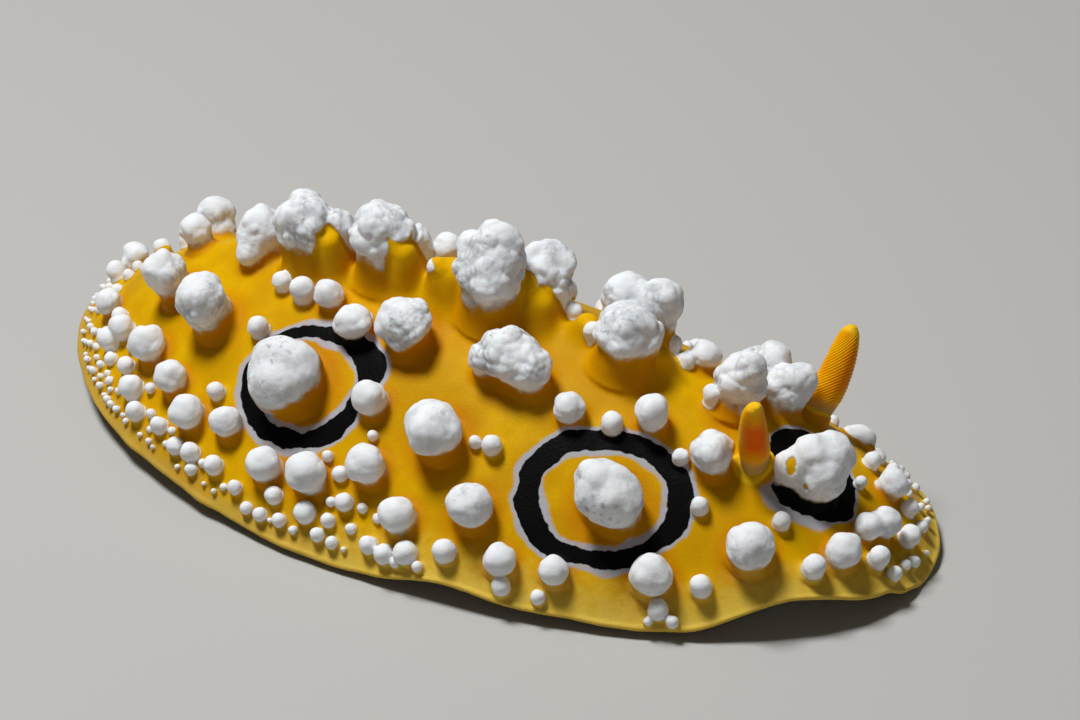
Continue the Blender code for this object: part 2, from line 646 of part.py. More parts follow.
def main():
    for thing in list(bpy.data.objects):
        bpy.data.objects.remove(thing)
    mantle_parts(material("mantle", YELLOW, 0.4))
    flesh = material("underside", GREY, 0.5)
    foot(flesh)
    head(flesh)
    oral_tentacle("oral_tentacle_left", 1, flesh)
    oral_tentacle("oral_tentacle_right", -1, flesh)
    orange = material("rhinophore", ORANGE, 0.4)
    rhinophore("rhinophore_left", LEFT_RHINOPHORE, orange)
    rhinophore("rhinophore_right", RIGHT_RHINOPHORE, orange)


main()
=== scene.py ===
"""Ocellate phyllidia, a warty sea slug: its skin, its colours and its setting.

The skin is modelled as a field of distances on a grid of fine cells. Every form, such as the back, a wart
or a gill, gives the distance to its own surface, and smooth minima blend the forms into one skin.
The field's zero surface becomes the mesh. Lengths are millimetres until a mesh is made.
"""
import math
import random

import bpy
import numpy as np
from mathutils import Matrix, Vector


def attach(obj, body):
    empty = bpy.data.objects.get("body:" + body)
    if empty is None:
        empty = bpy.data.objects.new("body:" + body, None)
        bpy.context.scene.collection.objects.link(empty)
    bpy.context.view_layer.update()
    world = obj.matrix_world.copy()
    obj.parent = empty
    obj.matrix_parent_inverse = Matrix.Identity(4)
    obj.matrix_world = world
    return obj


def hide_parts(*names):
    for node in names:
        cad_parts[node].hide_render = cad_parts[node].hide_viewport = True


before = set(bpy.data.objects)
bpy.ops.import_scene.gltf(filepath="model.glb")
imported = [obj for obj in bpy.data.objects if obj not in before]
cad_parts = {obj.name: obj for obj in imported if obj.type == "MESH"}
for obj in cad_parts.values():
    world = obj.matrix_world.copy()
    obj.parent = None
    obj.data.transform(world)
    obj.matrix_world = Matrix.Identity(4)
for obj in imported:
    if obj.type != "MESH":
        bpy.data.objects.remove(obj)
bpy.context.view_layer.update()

MM = 0.001
CELL = 0.1
MANTLE_BOX = ((-28.8, -15.0, -0.1), (28.8, 15.2, 18.6))
FOOT_BOX = ((-23.5, -7.0, -0.3), (26.5, 7.5, 3.6))

# The body's form, as its solids have it
HALF_LENGTH = 27.5
HALF_WIDTH = 13.5
HEAD_NARROWING = 0.08
HEAD_BLUNTNESS = 0.82
SIDE_BLUNTNESS = 0.95
TAIL_SIDE_BLUNTNESS = 1.08
CREST_SHARE = 0.55
CREST_HEIGHT = 9.4
CREST_FALL = 2.0
CREST_HEAD_FALL = 0.6
SLOPE_POWER = 1.67
SLOPE_ROUNDING = 1.05
BEND_PER_MM = 0.002
ORIGIN_ACROSS = -0.5
MARGIN_WAVES = ((0, 0.1), (8, 0.4), (30, 1.0), (60, 0.4), (90, 1.2), (120, 0.5), (150, 1.3),
                (180, 1.9), (210, 1.3), (235, 1.1), (260, 0.4), (268, 0.35), (278, 1.3), (287, 0.75),
                (305, 0.45), (325, 2.3), (345, 1.2), (352, 0.6), (360, 0.1))
MARGIN_LEVEL = 1.1
MARGIN_THICKNESS = 0.6
MARGIN_NOSE = 0.2
EDGE_THICKNESS = 0.36
EDGE_THINNING = MARGIN_THICKNESS - EDGE_THICKNESS
EDGE_RUFFLE = 0.05
# Waves of the skin and of its edge: height, length and seed
SWELLS = ((0.07, 2.7, 41), (0.03, 0.9, 42))
RUFFLES = ((1.0, 2.4, 43),)
SCALLOPS = ((0.09, 1.6, 44),)
SKIRT_THICKENING = 4.0
CEILING = 2.8

# Tubercles: (along, across, width, height). Along the crest, where several make up one knobbly mass
MIDDLE_TUBERCLES = (
    (-25.8, -0.1, 1.2, 1.3), (-25.4, 1.4, 1.6, 1.7), (-23.4, 1.4, 1.1, 1.2), (-22.0, 2.2, 1.1, 1.2),
    (-19.4, 0.0, 1.7, 2.1), (-19.7, 2.2, 1.9, 2.8), (-16.1, 2.2, 1.5, 1.8), (-14.7, -1.3, 1.5, 1.7),
    (-14.5, 0.0, 2.4, 3.0), (-10.7, -0.8, 3.2, 4.9), (-9.0, -0.2, 1.7, 3.7), (-5.9, -0.4, 3.2, 5.0),
    (-4.2, 0.4, 1.4, 3.2), (-3.0, 1.4, 1.7, 2.8), (-2.0, -0.9, 1.0, 2.8), (0.2, -0.6, 1.4, 4.9),
    (1.6, -1.0, 3.5, 5.2), (1.7, -0.5, 2.4, 6.1), (3.5, 1.0, 2.7, 4.3), (4.3, 0.6, 1.7, 2.9),
    (5.6, 0.8, 1.0, 1.2), (7.5, -0.6, 1.0, 1.6), (8.2, 1.5, 2.5, 3.8), (9.8, -1.0, 3.3, 4.2),
    (10.1, 1.5, 2.3, 4.3), (11.3, 1.6, 1.0, 1.3), (12.3, 1.2, 1.1, 0.9), (13.0, 2.0, 1.6, 1.7),
    (15.0, -0.8, 1.0, 1.3), (16.0, -0.2, 2.6, 3.4), (16.4, -0.1, 1.5, 4.1), (15.9, 3.5, 2.3, 3.0),
    (17.6, 2.2, 2.3, 2.8), (18.0, 2.6, 1.5, 3.1), (20.3, -2.3, 1.8, 2.2), (20.8, -1.7, 2.1, 3.2),
    (21.5, -0.9, 2.4, 3.5), (21.7, -1.8, 2.5, 2.8), (22.6, 3.3, 1.0, 1.0), (24.1, 2.3, 1.7, 1.8),
    (24.6, -1.6, 1.5, 1.6), (25.0, -0.8, 1.7, 1.9), (25.3, 2.4, 1.0, 1.0), (26.1, 0.6, 1.2, 1.2))
# Lobes of bare yellow skin that rise between the warts of the crest
CREST_LOBES = (
    (-8.9, -1.2, 1.3, 3.0), (-4.2, -0.8, 1.5, 3.3), (-1.4, -0.5, 2.0, 2.6), (3.0, -0.5, 1.5, 2.9),
    (4.1, -0.4, 1.5, 2.1), (6.9, -0.1, 1.2, 1.5), (11.4, 0.0, 1.2, 1.7))
# On the right side, where across is the distance from the crest line
SIDE_TUBERCLES = (
    (-23.8, 3.4, 1.5, 1.6), (-22.0, 5.9, 1.3, 1.4), (-21.3, 5.4, 1.4, 1.5), (-19.8, 7.4, 1.0, 1.0),
    (-18.7, 3.4, 2.3, 3.3), (-18.5, 8.6, 1.4, 1.4), (-18.3, 6.7, 2.0, 2.2), (-17.5, 9.7, 1.1, 1.1),
    (-15.6, 8.3, 1.8, 2.0), (-15.4, 10.3, 1.0, 1.0), (-14.8, 5.1, 2.8, 3.8), (-13.8, 11.1, 1.0, 0.9),
    (-13.4, 9.8, 1.9, 2.1), (-12.5, 11.3, 1.1, 1.1), (-12.4, 8.6, 1.0, 1.0), (-11.5, 2.7, 1.1, 1.2),
    (-11.4, 5.4, 1.2, 1.3), (-10.7, 9.9, 1.7, 1.8), (-10.7, 11.6, 1.1, 1.1), (-9.8, 3.1, 1.4, 1.6),
    (-7.9, 3.1, 1.6, 1.8), (-7.7, 7.7, 4.5, 3.75), (-7.3, 11.2, 1.9, 2.0), (-6.3, 12.1, 1.0, 0.9),
    (-5.5, 4.3, 2.0, 2.1), (-4.4, 11.1, 2.2, 2.4), (-4.0, 12.4, 1.2, 1.1), (-2.5, 7.5, 1.9, 2.0),
    (-2.1, 4.1, 3.0, 3.2), (-1.9, 11.6, 1.0, 1.0), (-1.1, 10.1, 2.1, 2.3), (1.8, 11.6, 2.0, 2.1),
    (2.3, 8.2, 3.2, 3.3), (2.8, 12.8, 1.3, 1.1), (3.0, 4.4, 1.5, 2.3), (4.5, 3.9, 3.0, 3.2),
    (5.7, 4.1, 2.3, 2.7), (5.0, 12.4, 1.3, 1.2), (5.3, 7.7, 1.1, 1.1), (5.7, 10.5, 2.4, 2.5),
    (8.1, 11.8, 1.8, 1.8), (8.6, 4.9, 1.6, 1.8), (8.6, 12.6, 1.0, 0.9), (11.0, 4.6, 1.2, 1.2),
    (11.1, 11.2, 1.6, 1.6), (11.9, 7.7, 2.3, 3.6), (12.6, 7.8, 3.5, 3.5), (13.3, 7.9, 2.5, 3.1),
    (12.9, 3.6, 1.8, 2.5), (16.0, 9.5, 2.3, 2.1), (16.7, 4.0, 2.1, 2.5), (16.9, 10.4, 1.1, 0.9),
    (17.1, 6.1, 1.0, 1.0), (18.7, 8.9, 1.2, 1.3), (20.5, 6.9, 2.5, 2.6), (21.2, 4.8, 1.0, 1.0),
    (23.6, 5.9, 1.3, 1.3), (24.3, 4.1, 1.9, 1.9), (25.8, 2.7, 1.2, 1.2))
# On the left side, whose outer ones follow the right side's
LEFT_TUBERCLES = (
    (-17.9, 5.2, 2.1, 2.2), (-15.2, 5.8, 2.5, 2.5), (-12.8, 8.8, 1.8, 1.8), (-10.0, 5.0, 2.7, 2.6),
    (-4.9, 8.9, 3.3, 3.0), (-2.4, 4.8, 2.9, 2.8), (0.6, 6.4, 1.6, 1.4), (4.9, 9.0, 2.7, 2.3),
    (7.8, 4.8, 2.5, 2.5), (12.8, 9.4, 3.2, 2.2), (14.6, 5.2, 1.6, 1.4), (17.0, 6.6, 1.4, 1.0),
    (20.4, 6.8, 2.1, 1.1))
LEFT_FROM = 9.5
LEFT_HEIGHT = 0.85
LEFT_SLIDE = 0.7
LEFT_SIZE_CHANGE = 0.12
LEFT_SEED = 7
FINE_SEED = 3
GILL_SEED = 5
TUBERCLE_UPRIGHT = 0.35
LARGE_WIDTH = 2.8
SMALL_WIDTH = 1.5
# Kinds of wart: how widely it blends with the skin, and the shares of its height where it turns white
KINDS = {"fine": (0.15, (-0.1, 0.35)), "small": (0.2, (-0.1, 0.35)), "middling": (0.38, (-0.05, 0.6)),
         "slender": (0.38, (0.2, 0.72)), "large": (0.45, (0.2, 0.72)), "front": (0.5, (0.05, 0.35))}
CREST_BLEND = 0.55
LOBE_BLEND = 0.9
# A large wart's form and any other's: how far it sinks into the skin, how far its cap's middle drops
# below the top, in radii as the stalk's waist and flare are, the cap's squash and the knobs' number
LARGE_WART = {"sunk": 0.3, "drop": 0.86, "squash": 1.1, "waist": 0.8, "flare": 0.16, "knobs": 10}
PLAIN_WART = {"sunk": 0.12, "drop": 0.95, "squash": 1.0, "waist": 0.93, "flare": 0.24, "knobs": 5}
CREST_WAIST = 0.88
CREST_FLARE = 0.45
LOBE_FLANK = 1.75
LOBE_TAPER = 0.95
KNOB_SIZES = (0.33, 0.52)
# How knobbly a wart is: away from the crest, how much more on it, and in front
ROUGHNESS = 0.42
CREST_ROUGHNESS = 0.58
FRONT_ROUGHNESS = 0.55
FRONT_FROM = 19
# Bumps on the caps: size, height and seed. They rise along normals that are first evened out
BUMPS = ((1.2, 0.16, 11), (0.6, 0.075, 23))
NORMAL_ROUNDS = 4

# Finer tubercles of the right side that can be told apart
FINE_TUBERCLES = (
    (-21.5, 6.8, 0.8, 0.7), (-12.2, 11.9, 0.7, 0.6), (-8.9, 12.2, 0.8, 0.8), (-7.8, 12.8, 0.7, 0.6),
    (-6.8, 12.9, 0.8, 0.7), (-5.5, 12.9, 0.8, 0.7), (-4.5, 13.1, 0.5, 0.4), (-3.9, 10.1, 0.6, 0.6),
    (-2.9, 13.0, 0.8, 0.7), (-2.5, 12.4, 0.8, 0.8), (-1.9, 13.1, 0.7, 0.6), (-1.7, 8.8, 0.6, 0.6),
    (0.4, 12.8, 1.0, 0.9), (1.5, 13.0, 1.1, 1.0), (2.3, 13.2, 0.6, 0.5), (3.7, 13.2, 0.6, 0.5),
    (4.3, 7.8, 0.7, 0.7), (10.7, 12.3, 0.8, 0.7), (15.1, 4.5, 0.9, 0.9), (16.6, 11.1, 0.5, 0.4),
    (17.8, 10.5, 0.7, 0.6), (23.1, -0.8, 0.7, 0.8),
    (26.2, -2.4, 0.7, 0.6), (26.7, 2.4, 0.8, 0.8), (26.8, 1.0, 0.6, 0.5), (26.9, 0.1, 0.7, 0.5))
# The rest are strewn along the margin, the finer the nearer to it
FINE_TRIES = 16000
FINE_REACHES = (0.76, 0.98)
FINE_WIDTHS = (0.95, 0.36)
FINE_ROOM = 0.06
FINE_ROOM_AHEAD = 3.5
FINE_RIGHT_TO = 1.5

# Black rings: middle (along, across), then the radii of the outer and of the inner edge each 30 degrees,
# from ahead towards the left, and the width of the pale border. The front mark has no inner edge
RINGS = (
    ((12.3, -7.6), (4.7, 4.8, 4.3, 3.9, 4.0, 4.6, 5.1, 5.1, 4.7, 3.8, 4.0, 3.9),
     (3.4, 3.4, 3.1, 2.8, 2.9, 3.4, 3.9, 3.7, 3.4, 2.9, 2.9, 3.0), 0.28),
    ((-7.0, -7.4), (4.0, 5.0, 4.2, 3.7, 3.8, 4.2, 4.6, 4.1, 4.0, 3.8, 3.9, 4.0),
     (3.0, 3.2, 2.9, 2.8, 2.9, 3.5, 3.6, 3.2, 2.9, 2.8, 2.8, 2.8), 0.3),
    ((12.6, 9.0), (4.3, 4.0, 3.6, 3.3, 3.4, 3.9, 4.4, 4.1, 3.6, 3.4, 3.6, 4.0),
     (3.1, 2.8, 2.4, 2.2, 2.3, 2.7, 3.2, 2.9, 2.5, 2.3, 2.4, 2.8), 0.32),
    ((-5.1, 8.7), (4.6, 4.2, 3.7, 3.4, 3.6, 4.2, 4.5, 4.1, 3.6, 3.5, 3.7, 4.2),
     (3.2, 2.9, 2.6, 2.4, 2.5, 3.0, 3.3, 3.0, 2.6, 2.4, 2.5, 2.9), 0.3),
    ((21.5, -1.5), (3.0, 2.8, 2.9, 3.5, 3.9, 3.9, 3.1, 2.6, 2.4, 2.2, 2.1, 2.3), (), 0.5))
RING_WAVES = ((0.13, 0.9, 60), (0.05, 0.35, 70))

# Spots of yellow skin on a wart: its place, the way to the spot from the cap's middle, and its size
BARE_SPOTS = (((20.3, -2.3), (0.3, -0.72, 0.62), 0.35), ((20.3, -2.3), (0.36, -0.85, 0.33), 0.33),
              ((21.7, -1.8), (-0.5, -1.2, -0.3), 0.22))

# Rhinophores. Girth, bow and tip say how stout the club is, how far it bows forward and how far its tip
# does, and shaded_side and shade_strength the way round to its painted shade, a deeper orange on the
# side in shade, in radians, and how strong that is
RIGHT_RHINOPHORE = {
    "place": (18.7, -2.8), "length": 6.1, "lean": (0.09, -0.4, 1.0), "girth": 0.9, "bow": 0.1, "tip": 0.9,
    "shaded_side": -1.0, "shade_strength": 1.0}
LEFT_RHINOPHORE = {
    "place": (18.75, 4.2), "length": 5.95, "lean": (0.22, 0.36, 1.0), "girth": 1.0, "bow": 0.26, "tip": 0.25,
    "shaded_side": -0.6, "shade_strength": 0.6}
SHEATH_RADIUS = 1.02
SHEATH_HEIGHT = 0.9
SHEATH_DIP = 0.75
CLUB_PARTS = (0.0, 0.1, 0.2, 0.27, 0.4, 0.6, 0.74, 0.84, 0.92, 0.97, 1.0)
CLUB_RADII = (0.84, 0.87, 0.92, 0.96, 0.95, 0.87, 0.78, 0.68, 0.55, 0.42, 0.2)
CLUB_SIDES = 160
CLUB_ROWS = 280
LAMELLA_STEP = 0.74 / 20
LAMELLA_SLANT = 4.9
LAMELLA_HEIGHT = 0.055

# Foot, gills and head
FOOT_MIDDLE = -1.0
FOOT_HALF_LENGTH = 21.5
FOOT_HALF_WIDTH = 5.4
FOOT_WIDENING = 0.1
FOOT_ROUNDNESS = 0.85
FOOT_HEIGHT = 2.5
FOOT_TOP = 3.1
GILL_STEP = 0.8
GILL_OFF_FOOT = 0.6
GILL_WIDTH = 2.3
GILL_DROP = 1.4
GILL_HALF_THICKNESS = 0.16
GILL_LAST = 0.95
HEAD_BACK = 20.9
HEAD_FRONT = 24.0
HEAD_RADII = (2.3, 2.5, 1.0)
MOUTH_RADII = (0.7, 0.32, 0.3)
TENTACLE_ROOT = (23.7, 2.55, 1.25)
TENTACLE_TIP = (25.0, 3.9, 0.7)
TENTACLE_RADII = (0.5, 0.25)
ANUS_PLACE = (-21.6, -0.6)
ANUS_RADIUS = 0.32

# The setting: the floor and the lamps in metres, the camera in millimetres and degrees
FLOOR_HALF = 3.0
FLOOR_DROP = 0.00002
# Name, place, width, power and colour
LAMPS = (("key", (-0.09, -0.03, 0.33), 0.10, 1.25, (0.98, 0.99, 1.0)),
         ("fill", (0.22, -0.36, 0.26), 0.30, 0.09, (1.0, 0.97, 0.92)))
LAMP_TARGET = (0.0, 0.0, 0.005)
CAMERA_AZIMUTH = 29.5
CAMERA_ELEVATION = 32.7
CAMERA_TARGET = (1.3, 4.7, 4.7)
CAMERA_DISTANCE = 235
CAMERA_LENS = 134.7


# The body's shape as functions of arrays

def sideways(along):
    return BEND_PER_MM * (along ** 2 - HALF_LENGTH ** 2 / 3) - ORIGIN_ACROSS


def outline(cosine, sine):
    power = np.where(cosine > 0, HEAD_BLUNTNESS, 1.0)
    along = HALF_LENGTH * np.sign(cosine) * np.abs(cosine) ** power
    width = HALF_WIDTH * (1 - HEAD_NARROWING * cosine)
    side_power = np.where(cosine > 0, SIDE_BLUNTNESS, TAIL_SIDE_BLUNTNESS)
    return along, width * np.sign(sine) * np.abs(sine) ** side_power


def between(ends, part):
    return ends[0] + (ends[1] - ends[0]) * part


def margin_height(angle):
    degrees = np.degrees(angle) % 360
    starts, levels = np.array(MARGIN_WAVES, float).T
    index = np.clip(np.searchsorted(starts, degrees, side="right") - 1, 0, len(starts) - 2)
    part = (degrees - starts[index]) / (starts[index + 1] - starts[index])
    return between((levels[index], levels[index + 1]), (1 - np.cos(np.pi * part)) / 2)


def top_height(angle, reach):
    cosine = np.cos(angle)
    crest = CREST_HEIGHT - CREST_FALL * cosine ** 2 - CREST_HEAD_FALL * cosine ** 3
    slope = np.maximum(0.0, 1 - reach ** SLOPE_POWER) ** SLOPE_ROUNDING
    wave = (margin_height(angle) - MARGIN_LEVEL) * np.minimum(reach, 1.05) ** 3
    return MARGIN_LEVEL + MARGIN_THICKNESS + wave + crest * slope


def place_of(along, across, most=1.35):
    """Angle and reach of places on the straight body: the reach is halved in, the angle solved."""
    low, high = 0.001, most
    size = np.abs(along)
    for _ in range(24):
        reach = (low + high) / 2
        crest = CREST_SHARE * HALF_LENGTH * (1 - reach)
        cosine = size / (crest + reach * HALF_LENGTH)
        for _ in range(5):
            here = np.maximum(cosine, 1e-6)
            rise = crest * here + reach * HALF_LENGTH * here ** HEAD_BLUNTNESS - size
            slope = crest + reach * HALF_LENGTH * HEAD_BLUNTNESS * here ** (HEAD_BLUNTNESS - 1)
            cosine = np.where(along > 0, here - rise / slope, cosine)
        signed = np.sign(along) * np.clip(cosine, 0, 1)
        sine = np.sqrt(1 - signed ** 2)
        outside = (cosine >= 1) | (reach * outline(signed, sine)[1] < np.abs(across))
        low = np.where(outside, reach, low)
        high = np.where(outside, high, reach)
    return np.arctan2(np.where(across < 0, -sine, sine), signed), reach


def plan_point(angle, reach):
    """Along and across on the straight body."""
    cosine, sine = np.cos(angle), np.sin(angle)
    edge_along, edge_across = outline(cosine, sine)
    crest_along = CREST_SHARE * HALF_LENGTH * cosine
    return crest_along + reach * (edge_along - crest_along), reach * edge_across


def back_point(angle, reach):
    along, across = plan_point(angle, reach)
    return np.array([along, across + sideways(along), top_height(angle, reach)])


def unit(vector):
    return np.array(vector) / np.linalg.norm(vector)


def ahead_and_left(way):
    """The directions ahead and to the left that are square to a way."""
    ahead = unit(np.array([1.0, 0.0, 0.0]) - way * way[0])
    return ahead, np.cross(way, ahead)


def seat_on_back(along, across):
    """A point of the back, the surface's normal there and the way a tubercle there grows."""
    angle, reach = (float(value) for value in place_of(along, across, 1.0))
    step = 0.01
    round_step = back_point(angle + step, reach) - back_point(angle - step, reach)
    out_step = back_point(angle, min(reach + step, 1.0)) - back_point(angle, max(reach - step, 0.0))
    normal = np.cross(out_step, round_step)
    normal *= (1 if normal[2] > 0 else -1) / np.linalg.norm(normal)
    return back_point(angle, reach), normal, unit(normal + TUBERCLE_UPRIGHT * np.array([0, 0, 1]))


# Distance fields

AXES = np.eye(3, dtype=int)
CORNERS = [(a, b, c) for a in (0, 1) for b in (0, 1) for c in (0, 1)]
NEIGHBOURS = [(a, b, c) for a in (-1, 0, 1) for b in (-1, 0, 1) for c in (-1, 0, 1)]


def scrambled(i, j, k, seed):
    """A number from 0 to 65535 for each cell of a lattice, patternless but always the same."""
    key = (i * 73856093 ^ j * 19349663 ^ k * 83492791 ^ seed * 2654435761) & 0xFFFFFFFF
    key = (key ^ (key >> 15)) * 2246822519 & 0xFFFFFFFF
    key = (key ^ (key >> 13)) * 3266489917 & 0xFFFFFFFF
    return (key ^ (key >> 16)) & 0xFFFF


def noise(x, y, z, size, seed):
    """Smooth noise between -1 and 1, whose features are about size long."""
    places = (x / size, y / size, z / size)
    cells = [np.floor(place).astype(np.int64) for place in places]
    parts = [place - cell for place, cell in zip(places, cells)]
    eases = [part * part * (3 - 2 * part) for part in parts]
    total = 0.0
    for a, b, c in CORNERS:
        value = scrambled(cells[0] + a, cells[1] + b, cells[2] + c, seed) / 32767.5 - 1
        weight = (eases[0] if a else 1 - eases[0]) * (eases[1] if b else 1 - eases[1])
        total = total + value * weight * (eases[2] if c else 1 - eases[2])
    return total


def plan_noise(u, v, size, seed):
    return noise(u, v, v * 0, size, seed)


def waves(u, v, kinds, index=0):
    return sum(height * plan_noise(u, v, length, seed + index) for height, length, seed in kinds)


def cell_distances(points, size, seed):
    """Distances to the nearest and the second nearest of points strewn one to a cell, in cells."""
    places = (points / size).T
    base = [np.floor(place).astype(np.int64) for place in places]
    first, second = np.full((2, len(points)), 9.0)
    for shift in NEIGHBOURS:
        cell = [start + step for start, step in zip(base, shift)]
        square = np.zeros(len(points))
        for axis in range(3):
            strewn = cell[axis] + 0.1 + 0.8 * scrambled(*cell, seed + axis) / 65535
            square += (strewn - places[axis]) ** 2
        gap = np.sqrt(square)
        second = np.minimum(second, np.maximum(first, gap))
        first = np.minimum(first, gap)
    return first, second


def smooth_min(a, b, blend):
    part = np.maximum(blend - np.abs(a - b), 0) / blend
    return np.minimum(a, b) - part * part * blend / 4


def smooth_max(a, b, blend):
    return -smooth_min(-a, -b, blend)


def ease(low, high, value):
    """From 0 at low to 1 at high, in a smooth curve."""
    part = np.clip((value - low) / (high - low), 0, 1)
    return part * part * (3 - 2 * part)


def from_axis(seat, way, x, y, z):
    """Height over a seat along an axis, and distance from the axis."""
    dx, dy, dz = x - seat[0], y - seat[1], z - seat[2]
    height = dx * way[0] + dy * way[1] + dz * way[2]
    square = dx * dx + dy * dy + dz * dz
    return height, np.sqrt(np.maximum(square - height * height, 0))


def from_middle(x, y, z, middle, radii=(1.0, 1.0, 1.0)):
    """Distance from a middle, in radii along the three axes."""
    return np.sqrt(((x - middle[0]) / radii[0]) ** 2 + ((y - middle[1]) / radii[1]) ** 2
                   + ((z - middle[2]) / radii[2]) ** 2)


class Field:
    """Distances on a grid of cubic cells, negative inside the form."""

    def __init__(self, lowest, highest):
        self.lowest = np.array(lowest)
        counts = np.ceil((highest - self.lowest) / CELL).astype(int) + 1
        self.axes = [(low + CELL * np.arange(count)).astype(np.float32)
                     for low, count in zip(self.lowest, counts)]
        self.values = np.full(counts, 9.0, np.float32)

    def add(self, middle, radius, shape, blend, sign=1):
        """Join a form that lies within radius of middle along each axis, or cut it out if sign is -1."""
        first = np.floor((np.array(middle) - radius - self.lowest) / CELL).astype(int)
        last = np.ceil((np.array(middle) + radius - self.lowest) / CELL).astype(int) + 1
        part = tuple(slice(*ends) for ends in zip(np.maximum(first, 0), np.clip(last, 0, self.values.shape)))
        here = self.values[part]
        if here.size:
            x, y, z = (axis[within] for axis, within in zip(self.axes, part))
            found = shape(x[:, None, None], y[None, :, None], z[None, None, :]).astype(np.float32)
            self.values[part] = sign * smooth_min(sign * here, found, blend)

    def surface(self):
        """Points and quads of the zero surface, with one point in every cell that it crosses."""
        inside = self.values < 0
        shape = np.array(inside.shape)
        count = np.zeros(shape - 1, np.int8)
        for a, b, c in CORNERS:
            count += inside[a:shape[0] - 1 + a, b:shape[1] - 1 + b, c:shape[2] - 1 + c]
        cells = np.argwhere((count > 0) & (count < 8))
        number = np.full(count.shape, -1, np.int32)
        number[tuple(cells.T)] = np.arange(len(cells))
        at = {corner: self.values[tuple((cells + corner).T)].astype(float) for corner in CORNERS}
        total = np.zeros((len(cells), 3))
        hits = np.zeros(len(cells))
        for start in CORNERS:
            for way in AXES:
                if way @ start:
                    continue
                end = tuple(start + way)
                crossed = (at[start] < 0) != (at[end] < 0)
                fall = np.where(crossed, at[start] - at[end], 1.0)
                total += (start + (at[start] / fall)[:, None] * way) * crossed[:, None]
                hits += crossed
        points = self.lowest + CELL * (cells + total / hits[:, None])
        quads = []
        for axis in range(3):
            u, v = (axis + 1) % 3, (axis + 2) % 3
            edges = np.argwhere(np.diff(inside, axis=axis))
            beside = edges[:, [u, v]]
            edges = edges[((beside > 0) & (beside < shape[[u, v]] - 1)).all(axis=1)]
            leaving = inside[tuple(edges.T)]
            back_u, back_v = AXES[[u, v]]
            ring = np.stack([number[tuple((edges - shift).T)]
                             for shift in (back_u + back_v, back_v, back_u * 0, back_u)], axis=1)
            quads.append(np.where(leaving[:, None], ring, ring[:, ::-1]))
        return points, np.concatenate(quads)


def placed(name, data):
    made = bpy.data.objects.new(name, data)
    bpy.context.scene.collection.objects.link(made)
    return made


def finished(mesh, finish, values):
    """The object of a mesh, shaded smooth, with values kept at its points."""
    mesh.shade_smooth()
    for key, numbers in values.items():
        mesh.attributes.new(key, "FLOAT", "POINT").data.foreach_set("value", numbers.astype(np.float32))
    mesh.materials.append(finish)
    return placed(mesh.name, mesh)


def mesh_from(name, points, quads, finish, values):
    mesh = bpy.data.meshes.new(name)
    mesh.vertices.add(len(points))
    mesh.vertices.foreach_set("co", (points * MM).astype(np.float32).ravel())
    mesh.loops.add(quads.size)
    mesh.loops.foreach_set("vertex_index", quads.astype(np.int32).ravel())
    mesh.polygons.add(len(quads))
    mesh.polygons.foreach_set("loop_start", np.arange(0, quads.size, quads.shape[1], dtype=np.int32))
    mesh.update(calc_edges=True)
    mesh.validate()
    return finished(mesh, finish, values)


def directions(per_quad, quads, count):
    """The quads' directions, summed at their points and made one long."""
    total = np.stack([sum(np.bincount(quads[:, corner], per_quad[:, axis], count) for corner in range(4))
                      for axis in range(3)], axis=1)
    return total / np.maximum(np.linalg.norm(total, axis=1), 1e-9)[:, None]


def soft_normals(points, quads):
    """The surface's normals at its points, evened out with their neighbours'."""
    first, second, third, fourth = (points[quads[:, corner]] for corner in range(4))
    normals = directions(np.cross(third - first, fourth - second), quads, len(points))
    for _ in range(NORMAL_ROUNDS):
        normals = directions(normals[quads].sum(axis=1), quads, len(points))
    return normals


# Tubercles

